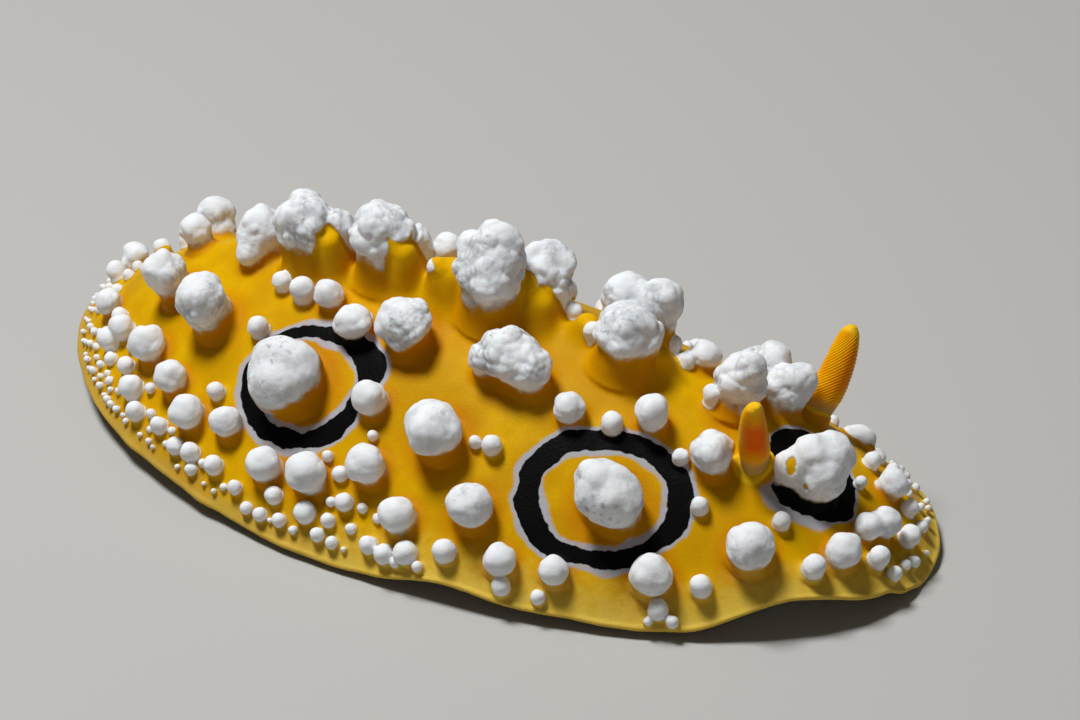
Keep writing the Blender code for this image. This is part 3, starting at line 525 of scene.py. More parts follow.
class Tubercle:
    """A wart with a stalk and a knobbly cap, the larger the more knobs. A bare one is a lobe of skin."""

    def __init__(self, along, across, width, height, seed, bare=False):
        draw = random.Random(seed)
        self.bare = bare
        self.seed = seed
        self.place = (along, across)
        self.seat, _, self.way = seat_on_back(along, across)
        self.radius = width / 2
        self.large = width > LARGE_WIDTH
        self.small = width < SMALL_WIDTH
        self.form = LARGE_WART if self.large else PLAIN_WART
        if not self.small:
            height -= self.form["sunk"]
        self.height = height
        near_crest = 1 - min(max((abs(across) - 4) / 3.5, 0), 1)
        self.rough = (ROUGHNESS + CREST_ROUGHNESS * near_crest) * draw.uniform(0.8, 1.1)
        if along > FRONT_FROM:
            self.rough = FRONT_ROUGHNESS
        self.crested = bare or (abs(across) < 3 and height > 2.4 and along < 14)
        kind = "large" if self.large else "slender" if height > 1.7 * width else "middling"
        if 20 < along < 22 and abs(across) < 3:
            kind = "front"
        if self.small:
            kind = "fine" if self.radius < 0.45 else "small"
        self.blend, self.whitening = KINDS[kind]
        if self.crested:
            self.blend = LOBE_BLEND if bare else CREST_BLEND
        self.cap_height = height - self.radius * self.form["drop"]
        self.reach = height + self.radius + 0.8
        self.middle = self.seat + self.way * height * 0.5
        side = unit(np.cross(self.way, [0.3, 1.0, 0.2]))
        other = np.cross(self.way, side)
        self.knobs = []
        if not self.small and not bare:
            for _ in range(self.form["knobs"]):
                turn = draw.uniform(0, 2 * math.pi)
                lift = draw.uniform(-0.5, 0.95)
                out = math.sqrt(1 - lift ** 2)
                size = self.radius * draw.uniform(*KNOB_SIZES)
                stand = self.radius * (0.96 + 0.08 * self.rough) - size
                way = out * (math.cos(turn) * side + math.sin(turn) * other) + lift * self.way
                self.knobs.append((self.seat + self.way * self.cap_height + way * stand, size))

    def flank(self, part, lowest):
        """A lobe's radius at a share of its height."""
        return self.radius * (LOBE_FLANK - LOBE_TAPER * np.clip(part, lowest, 1))

    def distance(self, x, y, z):
        height, out = from_axis(self.seat, self.way, x, y, z)
        if self.bare:
            flank = self.flank(height / self.height, -0.3)
            ends = np.maximum(height - self.height, -1 - height)
            return smooth_max((out - flank) * 0.85, ends, 0.8 * self.radius)
        radius = self.radius * (0.93 if not self.small else 0.97)
        lift = height - self.cap_height
        squash = np.where(lift > 0, radius / (self.height - self.cap_height), self.form["squash"])
        cap = np.sqrt(out * out + (lift * squash) ** 2) - radius
        waist, flare, rise = self.form["waist"], self.form["flare"], radius
        if self.crested:
            waist, flare, rise = CREST_WAIST, CREST_FLARE, self.height
        width = radius * (waist + flare * np.exp(-np.maximum(height, 0) / (0.35 * rise)))
        below = np.maximum(-0.1 - height, 0)
        stalk = np.maximum((out - width) * 0.93 + 0.9 * below, np.maximum(lift, -0.5 - height))
        found = smooth_min(cap, stalk, 0.3 * radius)
        for centre, size in self.knobs:
            found = smooth_min(found, from_middle(x, y, z, centre) - size, 0.22 * radius)
        lumpy = ease(0.1 * self.height, 0.6 * self.height, height)
        return found - 0.1 * radius * lumpy * noise(x, y, z, 0.75 * radius, self.seed)

    def whiteness(self, height, out, part):
        """How white the skin is, by the height over the seat, the way out and the share of the height."""
        widest = 1.22 if self.small else 1.55
        spread = np.hypot(out, np.maximum(height - self.cap_height, 0)) / self.radius
        white = ease(*self.whitening, part) * ease(widest, widest - 0.2, spread)
        if self.place == BARE_SPOTS[0][0]:
            white = white * 0.9
        if self.radius < 0.32:
            white = white * 0.85
        return white

    def lobe_share(self, out, part):
        """How far a point lies on a lobe of bare skin."""
        share = ease(1.45, 1.15, out / self.flank(part, 0)) * ease(-0.3, 0.0, part)
        return share * ease(1.2, 1.05, part)


def left_tubercles():
    """The left side's own tubercles, and the right side's outer ones mirrored where they have room."""
    draw = random.Random(LEFT_SEED)
    yield from LEFT_TUBERCLES
    for along, across, width, height in SIDE_TUBERCLES:
        place = (along + draw.uniform(-LEFT_SLIDE, LEFT_SLIDE), across)
        scale = 1 + draw.uniform(-LEFT_SIZE_CHANGE, LEFT_SIZE_CHANGE)
        room = all(math.dist(place, other[:2]) > (width + other[2]) / 2 for other in LEFT_TUBERCLES)
        if across > LEFT_FROM and room:
            yield (*place, width * scale, height * scale * LEFT_HEIGHT)


def fine_tubercles(larger):
    """Small warts thrown along the margin, kept where they have room, fewest beside the head."""
    draw = random.Random(FINE_SEED)
    taken = [(along, across, width) for along, across, width, _ in larger]
    for _ in range(FINE_TRIES):
        part = draw.random() ** 0.8
        reach = between(FINE_REACHES, part)
        angle = draw.uniform(0, 2 * math.pi)
        width = between(FINE_WIDTHS, part) * draw.uniform(0.75, 1.2)
        along, across = (float(value) for value in plan_point(angle, reach))
        if across < 0 and along > FINE_RIGHT_TO:
            continue
        if any(math.dist((along, across), place) < max(outer) + 0.2 for place, outer, _, _ in RINGS):
            continue
        ahead = min(max((along + 2) / 8, 0), 1)
        room = FINE_ROOM + draw.random() * 0.3 * width + FINE_ROOM_AHEAD * ahead * draw.random()
        if all((along - a) ** 2 + (across - b) ** 2 > ((w + width) / 2 + room) ** 2 for a, b, w in taken):
            taken.append((along, across, width))
            yield along, across, width, width * draw.uniform(0.75, 1.0)


def all_tubercles():
    places = list(MIDDLE_TUBERCLES)
    places += [(along, -across, width, height)
               for along, across, width, height in SIDE_TUBERCLES + FINE_TUBERCLES]
    places += list(left_tubercles())
    places += list(fine_tubercles(places))
    lobes = [Tubercle(*place, 50 + index, bare=True) for index, place in enumerate(CREST_LOBES)]
    return lobes + [Tubercle(*place, 100 + index) for index, place in enumerate(places)]


# Foot and gills

def foot_edge(turn, margin):
    cosine, sine = np.cos(turn), np.sin(turn)
    width = FOOT_HALF_WIDTH * (1 + FOOT_WIDENING * cosine)
    along = FOOT_MIDDLE + (FOOT_HALF_LENGTH + margin) * cosine
    return along, (width + margin) * np.sign(sine) * np.abs(sine) ** FOOT_ROUNDNESS + sideways(along)


def gill_leaves():
    """Leaflets between the foot and the skirt: root, way out and size."""
    draw = random.Random(GILL_SEED)
    count = int(4 * FOOT_HALF_LENGTH / GILL_STEP)
    for step in range(count):
        turn = 2 * math.pi * (step + 0.5) / count
        if abs(math.cos(turn)) > GILL_LAST:
            continue
        near = np.array(foot_edge(turn, GILL_OFF_FOOT))
        far = np.array(foot_edge(turn, GILL_OFF_FOOT + 1.0))
        size = (1.0 if step % 2 else 0.78) * draw.uniform(0.9, 1.08)
        yield near, unit(far - near), size


def gill_distance(near, out, size):
    """A leaflet: a thin half disc that hangs from the underside."""
    width = GILL_WIDTH * size
    centre = near + out * width / 2
    drop = GILL_DROP * size

    def shape(x, y, z):
        dx, dy = x - centre[0], y - centre[1]
        across = dx * out[0] + dy * out[1]
        through = np.abs(-dx * out[1] + dy * out[0]) - GILL_HALF_THICKNESS
        round_part = np.sqrt((across / (width / 2)) ** 2 + ((z - CEILING - 0.3) / (drop + 0.3)) ** 2) - 1
        return smooth_max(round_part * drop, through, 0.15)
    return centre, shape


# The mantle's skin

def mantle_field():
    field = Field(*MANTLE_BOX)
    x, y, z = field.axes
    along = np.repeat(x[:, None].astype(float), len(y), axis=1)
    across = y[None, :].astype(float) - sideways(along)
    angle, reach = place_of(along, across)
    ruffle = EDGE_RUFFLE * (ease(0.86, 1.0, reach) * waves(along, across, RUFFLES))
    top = top_height(angle, reach) - EDGE_THINNING * ease(0.9, 1.0, reach)
    under = np.minimum(top - EDGE_THICKNESS - SKIRT_THICKENING * np.maximum(1 - reach, 0), CEILING)
    under = under + ruffle
    top = top + waves(along, across, SWELLS) * ease(1.0, 0.9, reach) + ruffle

    def steepness(heights):
        rise_x, rise_y = np.gradient(heights, CELL)
        return 1 / np.sqrt(1 + rise_x ** 2 + rise_y ** 2)

    reach_x, reach_y = np.gradient(reach, CELL)
    per_mm = np.maximum(np.hypot(reach_x, reach_y), 0.02)
    out = (reach - 1) / per_mm - MARGIN_NOSE + waves(along, across, SCALLOPS)
    above = ((z[None, None, :] - top[:, :, None]) * steepness(top)[:, :, None]).astype(np.float32)
    below = ((under[:, :, None] - z[None, None, :]) * steepness(under)[:, :, None]).astype(np.float32)
    field.values[:] = smooth_max(above, below, 0.2)
    field.values[:] = smooth_max(field.values, out[:, :, None].astype(np.float32), 0.25)
    return field, {"top": top, "under": under, "edge": -out}


def sampled(grid, field, points):
    """A map over the floor plan, read at points."""
    u, v = (np.clip((points[:, axis] - field.lowest[axis]) / CELL, 0, grid.shape[axis] - 1.001)
            for axis in (0, 1))
    i, j = u.astype(int), v.astype(int)
    a, b = u - i, v - j
    return (grid[i, j] * (1 - a) * (1 - b) + grid[i + 1, j] * a * (1 - b)
            + grid[i, j + 1] * (1 - a) * b + grid[i + 1, j + 1] * a * b)


def evened(curve, half, ends):
    """A curve averaged with its values up to half places away."""
    window = np.hanning(2 * half + 1)
    return np.convolve(np.pad(curve, half, mode=ends), window / window.sum(), "valid")


def around(radii, turn):
    """A smooth closed curve's radius at each turn, from its radii at even steps."""
    degrees = np.arange(360)
    steps = np.arange(len(radii) + 1) * 360 / len(radii)
    curve = np.interp(degrees, steps, [*radii, radii[0]])
    curve = evened(curve, 16, "wrap")
    return np.interp(np.degrees(turn) % 360, np.arange(361), [*curve, curve[0]])


def keep_most(values, near, found):
    values[near] = np.maximum(values[near], found)


def ring_distance(points):
    """Distance to the nearest black ring's band, negative inside it, and the pale border's share."""
    nearest = np.full(len(points), 5.0)
    halo = np.zeros(len(points))
    for index, (place, outer, inner, border) in enumerate(RINGS):
        seat, normal, _ = seat_on_back(*place)
        ahead, left = ahead_and_left(normal)
        near = np.flatnonzero(((points - seat) ** 2).sum(axis=1) < 64)
        offset = points[near] - seat
        u, v = offset @ ahead, offset @ left
        turn, out = np.arctan2(v, u), np.hypot(u, v)
        wave = waves(u, v, RING_WAVES, index)
        band = out - around(outer, turn) + wave
        if inner:
            band = np.maximum(band, around(inner, turn) - out + wave)
        band = np.where(np.abs(offset @ normal) < 4, band, 5.0)
        nearest[near] = np.minimum(nearest[near], band)
        width = border * (1 + 0.5 * plan_noise(u, v, 1.3, 80 + index))
        if not inner:
            width = width * (0.3 + 0.8 * ease(-0.3, -0.9, np.sin(turn)))
        keep_most(halo, near, ease(width * 1.3, width * 0.8, band))
    return nearest, halo


def club_axis(sizes):
    """Where a rhinophore stands, the way it points, and 1 on the left side or -1 on the right."""
    seat, _, _ = seat_on_back(*sizes["place"])
    return seat, unit(sizes["lean"]), math.copysign(1, sizes["place"][1])


def sheath_rim(outward):
    """Height of a rhinophore's sheath, which is lower on the outer side."""
    return SHEATH_HEIGHT - SHEATH_DIP * np.maximum(outward + 0.2, 0)


def skin_values(points, field, maps, tubercles):
    """What the skin's colour and its fine relief depend on, at each point."""
    cap, stalk, big, knobbly, bare, yellow_spots_and_painted_light, spots, sheath, clear = np.zeros((9, len(points)))
    order = np.argsort(points[:, 0])
    sorted_x = points[order, 0]
    for wart in tubercles:
        reach = wart.reach + 1.0
        first, last = np.searchsorted(sorted_x, (wart.middle[0] - reach, wart.middle[0] + reach))
        near = order[first:last]
        near = near[np.abs(points[near, 1] - wart.middle[1]) < reach]
        here = points[near].T
        height, out = from_axis(wart.seat, wart.way, *here)
        part = height / wart.height
        if not wart.small:
            part = part + 0.13 * noise(*here, 0.9, 31)
            # painted shade: a darker orange-brown on the stalk and the skin just beneath the cap, less on
            # the crest
            shade_under_cap = ease(1.9, 0.95, out / wart.radius) * (height > -1) * (part < 1.3)
            keep_most(stalk, near, shade_under_cap * (0.75 if wart.crested else 1.0))
        if wart.bare:
            share = wart.lobe_share(out, part)
            keep_most(bare, near, share)
            # painted light: a lighter lemon yellow towards the lobe's top
            keep_most(yellow_spots_and_painted_light, near, share * ease(0.35, 0.95, part))
            continue
        white = wart.whiteness(height, out, part)
        keep_most(cap, near, white)
        if not wart.small:
            keep_most(big, near, white * ease(0.9, 1.6, wart.radius))
            low_knobs = 1 + 0.7 * ease(0.95, 0.6, part)
            keep_most(knobbly, near, white * wart.rough * min(wart.radius, 1.5) / 1.5 * low_knobs)
        for place, way, size in BARE_SPOTS:
            if place == wart.place:
                spot = wart.seat + wart.way * wart.cap_height + unit(way) * wart.radius
                gap = from_middle(*here, spot) * (1 + 0.35 * noise(*here, 0.5, 32))
                keep_most(spots, near, ease(1.1 * size, 0.7 * size, gap))
    top, under = sampled(maps["top"], field, points), sampled(maps["under"], field, points)
    ring, halo = ring_distance(points)
    for seat, way, outer_side in map(club_axis, (RIGHT_RHINOPHORE, LEFT_RHINOPHORE)):
        height, out = from_axis(seat, way, *points.T)
        near_club = ease(1.35, 1.12, out) * ease(-1.0, -0.4, height) * (height < 2)
        clear = np.maximum(clear, near_club)
        over_rim = height - sheath_rim((points[:, 1] - seat[1]) * outer_side)
        # painted highlight: a brighter yellow along the lip of the rhinophore's sheath
        sheath = np.maximum(sheath, near_club * ease(-0.35, -0.1, over_rim))
        # painted shade: the same darker orange-brown around the rhinophore's base
        stalk = np.maximum(stalk, 0.7 * near_club)
    yellow_spots_and_painted_light = np.maximum(yellow_spots_and_painted_light, spots)
    bare = np.maximum(bare, spots)
    cap = cap * ease(0.04, 0.2, points[:, 2] - top) * (1 - clear) * (1 - bare)
    return {"cap": cap, "stalk": stalk * (1 - yellow_spots_and_painted_light), "big": big * (1 - bare), "yellow_spots_and_painted_light": yellow_spots_and_painted_light,
            "knobbly": knobbly * (1 - bare), "sheath": sheath, "ring": ring + 3 * clear + 3 * spots,
            "halo": halo * (1 - clear) * (1 - spots), "rim": sampled(maps["edge"], field, points),
            "below": (points[:, 2] < (top + under) / 2).astype(float)}


def roughened(points, quads, values):
    """Raise fine bumps on the caps, and keep the creases between them as a value, for the shade painted in
    them.
    """
    near = np.flatnonzero(values["knobbly"] > 0.02)
    amount = values["knobbly"][near]
    here = points[near].T
    lift, painted_crease_shade = np.zeros((2, len(near)))
    wander = 0.25 * np.stack([noise(*here, 0.8, seed) for seed in (51, 52, 53)], axis=1)
    for size, height, seed in BUMPS:
        first, second = cell_distances(points[near] + wander, size, seed)
        lift += height * (1 - np.minimum(first / 0.75, 1.2) ** 2)
        painted_crease_shade = np.maximum(painted_crease_shade, ease(0.2, 0.0, second - first))
    # painted shade: the creases' share, in patches, darkens the caps in them
    patchy = ease(0.0, 0.35, noise(*here, 1.3, 54))
    values["painted_crease_shade"] = np.zeros(len(points))
    values["painted_crease_shade"][near] = painted_crease_shade * amount * patchy
    moved = points.copy()
    moved[near] += soft_normals(points, quads)[near] * (lift * amount)[:, None]
    return moved


def make_mantle(finish):
    field, maps = mantle_field()
    tubercles = all_tubercles()
    for wart in tubercles:
        field.add(wart.middle, wart.reach, wart.distance, wart.blend)
    for seat, way, outer_side in map(club_axis, (RIGHT_RHINOPHORE, LEFT_RHINOPHORE)):

        def sheath(x, y, z, seat=seat, way=way, outer_side=outer_side):
            height, out = from_axis(seat, way, x, y, z)
            rim = sheath_rim((y - seat[1]) * outer_side)
            return smooth_max(out - SHEATH_RADIUS, np.maximum(height - rim, -1 - height), 0.1)

        field.add(seat, 2.8, sheath, 0.35)
    anus, _, anal_way = seat_on_back(*ANUS_PLACE)

    def papilla(x, y, z):
        height, out = from_axis(anus, anal_way, x, y, z)
        return smooth_max(np.abs(out - ANUS_RADIUS) - 0.2, np.abs(height) - 0.85, 0.2)

    field.add(anus, 1.8, papilla, 0.3)
    for leaf in gill_leaves():
        centre, shape = gill_distance(*leaf)
        field.add((*centre, CEILING - 0.5), 2.4, shape, 0.12)
    points, quads = field.surface()
    values = skin_values(points, field, maps, tubercles)
    return mesh_from("mantle_skin", roughened(points, quads, values), quads, finish, values)


# The foot, head and oral tentacles

def make_foot(finish):
    field = Field(*FOOT_BOX)
    x, y, z = field.axes
    along = x[:, None].astype(float)
    across = y[None, :].astype(float) - sideways(along)
    cosine = (along - FOOT_MIDDLE) / FOOT_HALF_LENGTH
    width = FOOT_HALF_WIDTH * (1 + FOOT_WIDENING * cosine)
    inside = np.sqrt(cosine ** 2 + np.abs(across / width) ** (2 / FOOT_ROUNDNESS))
    ripple = 0.1 * np.sin(along * 2.1 + np.sin(across * 0.8)) * ease(0.75, 1.0, inside)
    plan = (inside - 1) * FOOT_HALF_WIDTH * 0.93 + ripple
    height = z[None, None, :]
    taper = 0.9 * ease(0.4, FOOT_HEIGHT, height) + 0.25 * ease(0.35, 0.0, height)
    side = plan[:, :, None] + taper
    field.values[:] = smooth_max(side, np.maximum(height - FOOT_TOP, -height), 0.18).astype(np.float32)

    head_middle = np.array([HEAD_BACK + 0.9, sideways(HEAD_BACK + 0.9), 1.35])

    def head(x, y, z):
        return (from_middle(x, y, z, head_middle, HEAD_RADII) - 1) * 1.2

    field.add(head_middle, 3.6, head, 0.35)
    mouth = np.array([HEAD_FRONT - 0.15, sideways(HEAD_FRONT), 1.0])

    def mouth_pit(x, y, z):
        return from_middle(x, y, z, mouth, MOUTH_RADII) * 0.3 - 0.3

    field.add(mouth, 1.4, mouth_pit, 0.15, -1)
    for sign in (-1, 1):
        root, tip = (np.array([place[0], sign * place[1] + sideways(place[0]), place[2]])
                     for place in (TENTACLE_ROOT, TENTACLE_TIP))
        root = root - (tip - root) * 0.55

        def tentacle(x, y, z, root=root, tip=tip):
            line = tip - root
            dx, dy, dz = x - root[0], y - root[1], z - root[2]
            part = np.clip((dx * line[0] + dy * line[1] + dz * line[2]) / (line @ line), 0, 0.92)
            out = from_middle(dx, dy, dz, [part * step for step in line])
            return out - TENTACLE_RADII[0] - (TENTACLE_RADII[1] - TENTACLE_RADII[0]) * part

        field.add((root + tip) / 2, 2.4, tentacle, 0.4)
    points, quads = field.surface()
    return mesh_from("foot_and_head", points, quads, finish, {})


# Rhinophores

def make_rhinophore(name, sizes, finish):
    """A club with fine oblique lamellae that meet in front and leave a smooth strip behind."""
    seat, way, _ = club_axis(sizes)
    front, left = ahead_and_left(way)
    turns = np.linspace(0, 2 * np.pi, CLUB_SIDES, endpoint=False)[None, :]
    parts = np.linspace(0, 1, CLUB_ROWS)[:, None] ** 0.97
    profile = evened(np.interp(parts[:, 0], CLUB_PARTS, CLUB_RADII), 12, "edge")
    smooth = profile[:, None] * sizes["girth"]
    phase = parts / LAMELLA_STEP - LAMELLA_SLANT * np.cos(turns)
    ridge = 1 - (np.abs((phase % 1.0) - 0.5) * 2) ** 2.2
    strip = ease(-0.93, -0.55, np.cos(turns))
    zone = ease(0.22, 0.3, parts) * ease(0.99, 0.92, parts)
    radius = smooth + LAMELLA_HEIGHT * (ridge - 0.5) * strip * zone
    squeeze = 1 - 0.12 * zone * np.abs(np.sin(turns)) ** 2
    bow = sizes["tip"] * np.where(parts > 0.4, np.maximum(0.93 * sizes["girth"] - smooth, 0), 0)
    bow = bow + sizes["bow"] * np.sin(np.pi * parts)
    centre = seat + (parts * sizes["length"])[..., None] * way + bow[..., None] * front
    around = np.cos(turns)[..., None] * front + (np.sin(turns) * squeeze)[..., None] * left
    side = (centre + radius[..., None] * around).reshape(-1, 3)
    tip = seat + way * (sizes["length"] + 0.04) + bow[-1] * front
    points = np.vstack([side, tip, centre[0, 0]])
    index = np.arange(len(side)).reshape(CLUB_ROWS, CLUB_SIDES)
    after = np.roll(index, -1, axis=1)
    faces = np.stack([index[:-1], after[:-1], after[1:], index[1:]], axis=-1).reshape(-1, 4).tolist()
    faces += [(*pair, len(side)) for pair in np.stack([index[-1], after[-1]], axis=1).tolist()]
    faces += [(*pair, len(side) + 1) for pair in np.stack([after[0], index[0]], axis=1).tolist()]
    mesh = bpy.data.meshes.new(name)
    mesh.from_pydata((points * MM).tolist(), [], faces)

    def spread(values, at_tip=0):
        return np.concatenate([np.broadcast_to(values, index.shape).ravel(), [at_tip, 0]])

    # painted shade: how far each side of the club faces its shaded side
    facing = sizes["shade_strength"] * np.cos(turns - sizes["shaded_side"])
    # painted shade: the share of the grooves between the lamellae
    return finished(mesh, finish, {"groove_shade": spread((1 - ridge) * strip * zone), "rise": spread(parts, 1),
                                   "ahead": spread(facing)})


# Materials

class Shade:
    """A node material, written as a formula."""

    def __init__(self, name):
        self.material = bpy.data.materials.new(name)
        self.material.use_nodes = True
        self.tree = self.material.node_tree

    def put(self, socket, value):
        if isinstance(value, bpy.types.NodeSocket):
            self.tree.links.new(value, socket)
        elif socket.type == "RGBA":
            socket.default_value = (*value, 1.0)
        else:
            socket.default_value = value

    def node(self, kind, inputs=(), **settings):
        made = self.tree.nodes.new(kind)
        for key, value in settings.items():
            setattr(made, key, value)
        for key, value in dict(inputs).items():
            self.put(made.inputs[key], value)
        return made

    def finish(self, values):
        """The material, with these values for its shader."""
        for key, value in values.items():
            self.put(self.tree.nodes["Principled BSDF"].inputs[key], value)
        return self.material

    def moist(self, colour, normal, rough, gloss, share, depth, reaches):
        """The material of moist skin, in which a share of the light spreads some depth, in millimetres."""
        return self.finish({
            "Base Color": colour, "Normal": normal, "Roughness": rough, "Specular IOR Level": gloss,
            "Subsurface Weight": share, "Subsurface Scale": depth * MM, "Subsurface Radius": reaches})

    def kept(self, *names):
        """Values kept at the mesh's points."""
        return [self.node("ShaderNodeAttribute", attribute_name=name).outputs["Fac"] for name in names]

    def math(self, operation, a, b):
        return self.node("ShaderNodeMath", {0: a, 1: b}, operation=operation).outputs[0]

    def plus(self, a, b):
        return self.math("ADD", a, b)

    def times(self, a, b):
        return self.math("MULTIPLY", a, b)

    def ramp(self, value, low, high, first=0.0, last=1.0):
        ends = {"Value": value, "From Min": low, "From Max": high, "To Min": first, "To Max": last}
        return self.node("ShaderNodeMapRange", ends, interpolation_type="SMOOTHSTEP").outputs["Result"]

    def mix(self, amount, a, b):
        return self.node("ShaderNodeMix", {0: amount, 6: a, 7: b}, data_type="RGBA").outputs[2]

    def places(self):
        return self.node("ShaderNodeTexCoord").outputs["Object"]

    def noise(self, size, detail):
        """Noise whose features are about size millimetres."""
        inputs = {"Vector": self.places(), "Scale": 1 / (size * MM), "Detail": detail, "Roughness": 0.5}
        return self.node("ShaderNodeTexNoise", inputs).outputs["Fac"]

    def bump(self, height, depth, strength, under=()):
        inputs = {"Height": height, "Distance": depth * MM, "Strength": strength, **dict(under)}
        return self.node("ShaderNodeBump", inputs).outputs["Normal"]


def skin_material():
    shade = Shade("mantle_skin")
    mix, ramp, times, noise = shade.mix, shade.ramp, shade.times, shade.noise
    cap, stalk, big, yellow_spots_and_painted_light, sheath = shade.kept("cap", "stalk", "big", "yellow_spots_and_painted_light", "sheath")
    ring, halo, painted_crease_shade, rim, below = shade.kept("ring", "halo", "painted_crease_shade", "rim", "below")
    soft = noise(3.5, 2)
    fine = noise(0.55, 3)

    colour = mix(ramp(soft, 0.35, 0.65), (0.55, 0.285, 0.001), (0.66, 0.37, 0.001))
    colour = mix(ramp(fine, 0.45, 0.75, 0.0, 0.35), colour, (0.55, 0.28, 0.001))
    # painted shade: a darker orange-brown on the stalks beneath the caps and around the rhinophores' bases
    colour = mix(times(stalk, 0.7), colour, (0.52, 0.18, 0.001))
    # the warts' own yellow spots, and painted light: a lighter lemon yellow towards the tops of the crest's
    # lobes
    colour = mix(times(yellow_spots_and_painted_light, 0.7), colour, (0.78, 0.43, 0.002))

    # the pale translucent margin is the skin's own colour; painted light and shade on it: lighter and wider
    # towards the front, darker at the tail
    painted_rim_light = ramp(shade.node("ShaderNodeSeparateXYZ", {0: shade.places()}).outputs[0], -0.014, 0.004)
    edge_wave = shade.plus(rim, ramp(fine, 0.3, 0.7, -0.25, 0.25))
    edge_wave = times(edge_wave, ramp(painted_rim_light, 0.0, 1.0, 1.0, 0.55))
    pale = ramp(edge_wave, 1.1, 0.0, 0.0, 0.75)
    colour = mix(pale, colour, mix(painted_rim_light, (0.45, 0.30, 0.06), (0.70, 0.51, 0.09)))
    # painted highlight: a brighter yellow along the sheaths' lips
    colour = mix(sheath, colour, (0.80, 0.50, 0.01))

    mottled = times(halo, ramp(fine, 0.3, 0.5, 0.7, 0.95))
    colour = mix(mottled, colour, (0.40, 0.41, 0.46))
    black = ramp(shade.plus(ring, ramp(fine, 0.3, 0.7, -0.04, 0.04)), 0.04, -0.02)
    colour = mix(black, colour, (0.003, 0.003, 0.003))

    ragged = shade.plus(cap, ramp(fine, 0.3, 0.7, -0.1, 0.1))
    veil = ramp(ragged, 0.2, 0.6)
    # partly painted shade: the caps' lower parts turn a darker beige; partly the white thinning over the
    # yellow skin
    white = mix(ramp(ragged, 0.3, 0.8), (0.54, 0.46, 0.31), (0.80, 0.82, 0.84))
    dusky = times(ramp(noise(1.1, 3), 0.48, 0.7, 0.0, 0.45), big)
    white = mix(dusky, white, (0.42, 0.44, 0.47))
    zone = ramp(noise(1.9, 1), 0.5, 0.64)
    pits = times(times(ramp(noise(0.36, 3), 0.5, 0.7), zone), big)
    white = mix(times(pits, 0.65), white, (0.20, 0.22, 0.25))
    # painted shade: darker grey in the creases between the caps' bumps
    white = mix(times(painted_crease_shade, 0.35), white, (0.20, 0.22, 0.24))
    colour = mix(veil, colour, white)

    grey = mix(ramp(soft, 0.3, 0.7), (0.42, 0.40, 0.36), (0.52, 0.50, 0.46))
    grey = mix(ramp(rim, 2.6, 0.3), grey, (0.62, 0.42, 0.06))
    colour = mix(below, colour, grey)

    rough = mix(veil, (0.45, 0.45, 0.45), (0.6, 0.6, 0.6))
    rough = mix(black, rough, (0.42, 0.42, 0.42))
    grain = shade.bump(noise(0.16, 2), 0.04, 0.5)
    lumps = shade.bump(times(fine, veil), 0.05, 0.5, {"Normal": grain})
    return shade.moist(colour, lumps, rough, gloss=0.03, share=0.25, depth=0.5, reaches=(1.0, 0.6, 0.3))


def flesh_material():
    shade = Shade("underside_flesh")
    colour = shade.mix(shade.ramp(shade.noise(2.5, 3), 0.3, 0.7), (0.46, 0.44, 0.40), (0.58, 0.55, 0.50))
    grain = shade.bump(shade.noise(0.4, 3), 0.08, 0.5)
    return shade.moist(colour, grain, rough=0.45, gloss=0.5, share=0.3, depth=0.7, reaches=(1.0, 0.7, 0.5))


def rhinophore_material():
    shade = Shade("rhinophore_skin")
    mix, ramp, times = shade.mix, shade.ramp, shade.times
    rise, ahead, groove_shade = shade.kept("rise", "ahead", "groove_shade")
    mottled = ramp(shade.noise(0.9, 2), 0.3, 0.7)
    colour = mix(mottled, (0.92, 0.38, 0.001), (0.94, 0.46, 0.001))
    # painted shade: a deeper orange on the club's shaded side, between its base and its tip
    zone = times(ramp(rise, 0.9, 0.68), ramp(rise, 0.25, 0.5))
    shaded_side = times(ramp(ahead, 0.3, 0.95), zone)
    colour = mix(shaded_side, colour, (0.92, 0.14, 0.001))
    # painted shade: darker in the grooves between the lamellae
    colour = mix(ramp(groove_shade, 0.4, 1.0, 0.0, 0.45), colour, (0.42, 0.12, 0.001))
    colour = mix(ramp(rise, 0.9, 0.98), colour, (0.92, 0.52, 0.01))
    colour = mix(ramp(rise, 0.3, 0.16), colour, (0.56, 0.34, 0.10))
    grain = shade.bump(shade.noise(0.12, 2), 0.03, 0.4)
    return shade.moist(colour, grain, rough=0.42, gloss=0.07, share=0.2, depth=0.5, reaches=(1.0, 0.3, 0.05))


# Setting

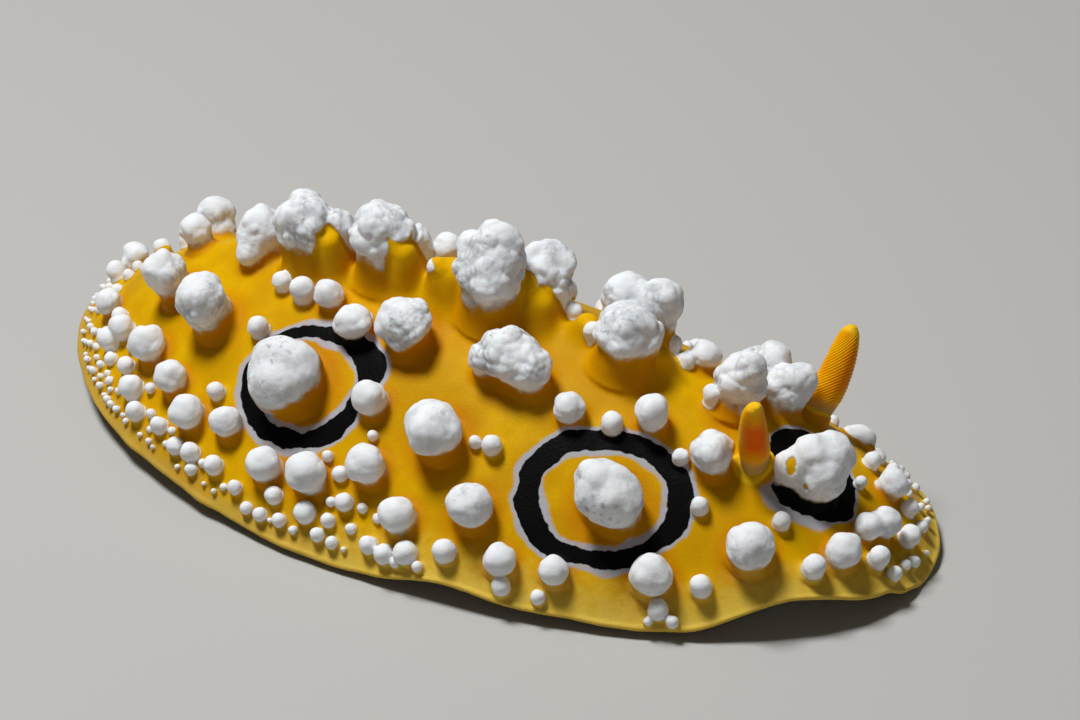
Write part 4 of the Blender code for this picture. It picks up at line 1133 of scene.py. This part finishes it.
def make_floor():
    mesh = bpy.data.meshes.new("floor")
    low, high = -FLOOR_HALF, FLOOR_HALF
    mesh.from_pydata([(low, low, 0), (high, low, 0), (high, high, 0), (low, high, 0)], [], [(0, 1, 2, 3)])
    mesh.materials.append(Shade("floor").finish({"Base Color": (0.46, 0.45, 0.43), "Roughness": 0.7}))
    floor = placed("floor", mesh)
    floor.location.z = -FLOOR_DROP


def make_world():
    world = bpy.data.worlds.new("studio")
    world.use_nodes = True
    backdrop = world.node_tree.nodes["Background"].inputs
    backdrop["Color"].default_value = (1.0, 0.96, 0.90, 1)
    backdrop["Strength"].default_value = 0.07
    bpy.context.scene.world = world


def pointed(thing, place, way):
    """Set a lamp or the camera at a place, looking a way."""
    thing.location = place
    thing.rotation_mode = "QUATERNION"
    thing.rotation_quaternion = way.to_track_quat("-Z", "Y")


def make_lamp(name, place, size, power, colour):
    lamp = bpy.data.lights.new(name, "AREA")
    lamp.shape = "DISK"
    lamp.size = size
    lamp.energy = power
    lamp.color = colour
    pointed(placed(name, lamp), place, Vector(LAMP_TARGET) - Vector(place))


def make_camera():
    azimuth, elevation = math.radians(CAMERA_AZIMUTH), math.radians(CAMERA_ELEVATION)
    back = Vector((math.sin(azimuth) * math.cos(elevation), -math.cos(azimuth) * math.cos(elevation),
                   math.sin(elevation)))
    view = bpy.data.cameras.new("camera")
    view.lens = CAMERA_LENS
    view.clip_start = 0.01
    view.clip_end = 20.0
    camera = placed("camera", view)
    pointed(camera, Vector(CAMERA_TARGET) * MM + back * CAMERA_DISTANCE * MM, -back)
    bpy.context.scene.camera = camera
    bpy.context.scene.view_settings.view_transform = "Standard"


mantle = make_mantle(skin_material())
foot = make_foot(flesh_material())
orange = rhinophore_material()
right = make_rhinophore("rhinophore_right_skin", RIGHT_RHINOPHORE, orange)
left = make_rhinophore("rhinophore_left_skin", LEFT_RHINOPHORE, orange)
for piece, slot, nodes in (
        (mantle, "mantle", ("mantle_front", "mantle_middle", "mantle_rear")),
        (foot, "flesh", ("foot", "head", "oral_tentacle_left", "oral_tentacle_right")),
        (right, "rhinophore", ("rhinophore_right",)),
        (left, "rhinophore", ("rhinophore_left",))):
    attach(piece, "root")
    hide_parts(*nodes)
make_floor()
make_world()
for lamp_sizes in LAMPS:
    make_lamp(*lamp_sizes)
make_camera()
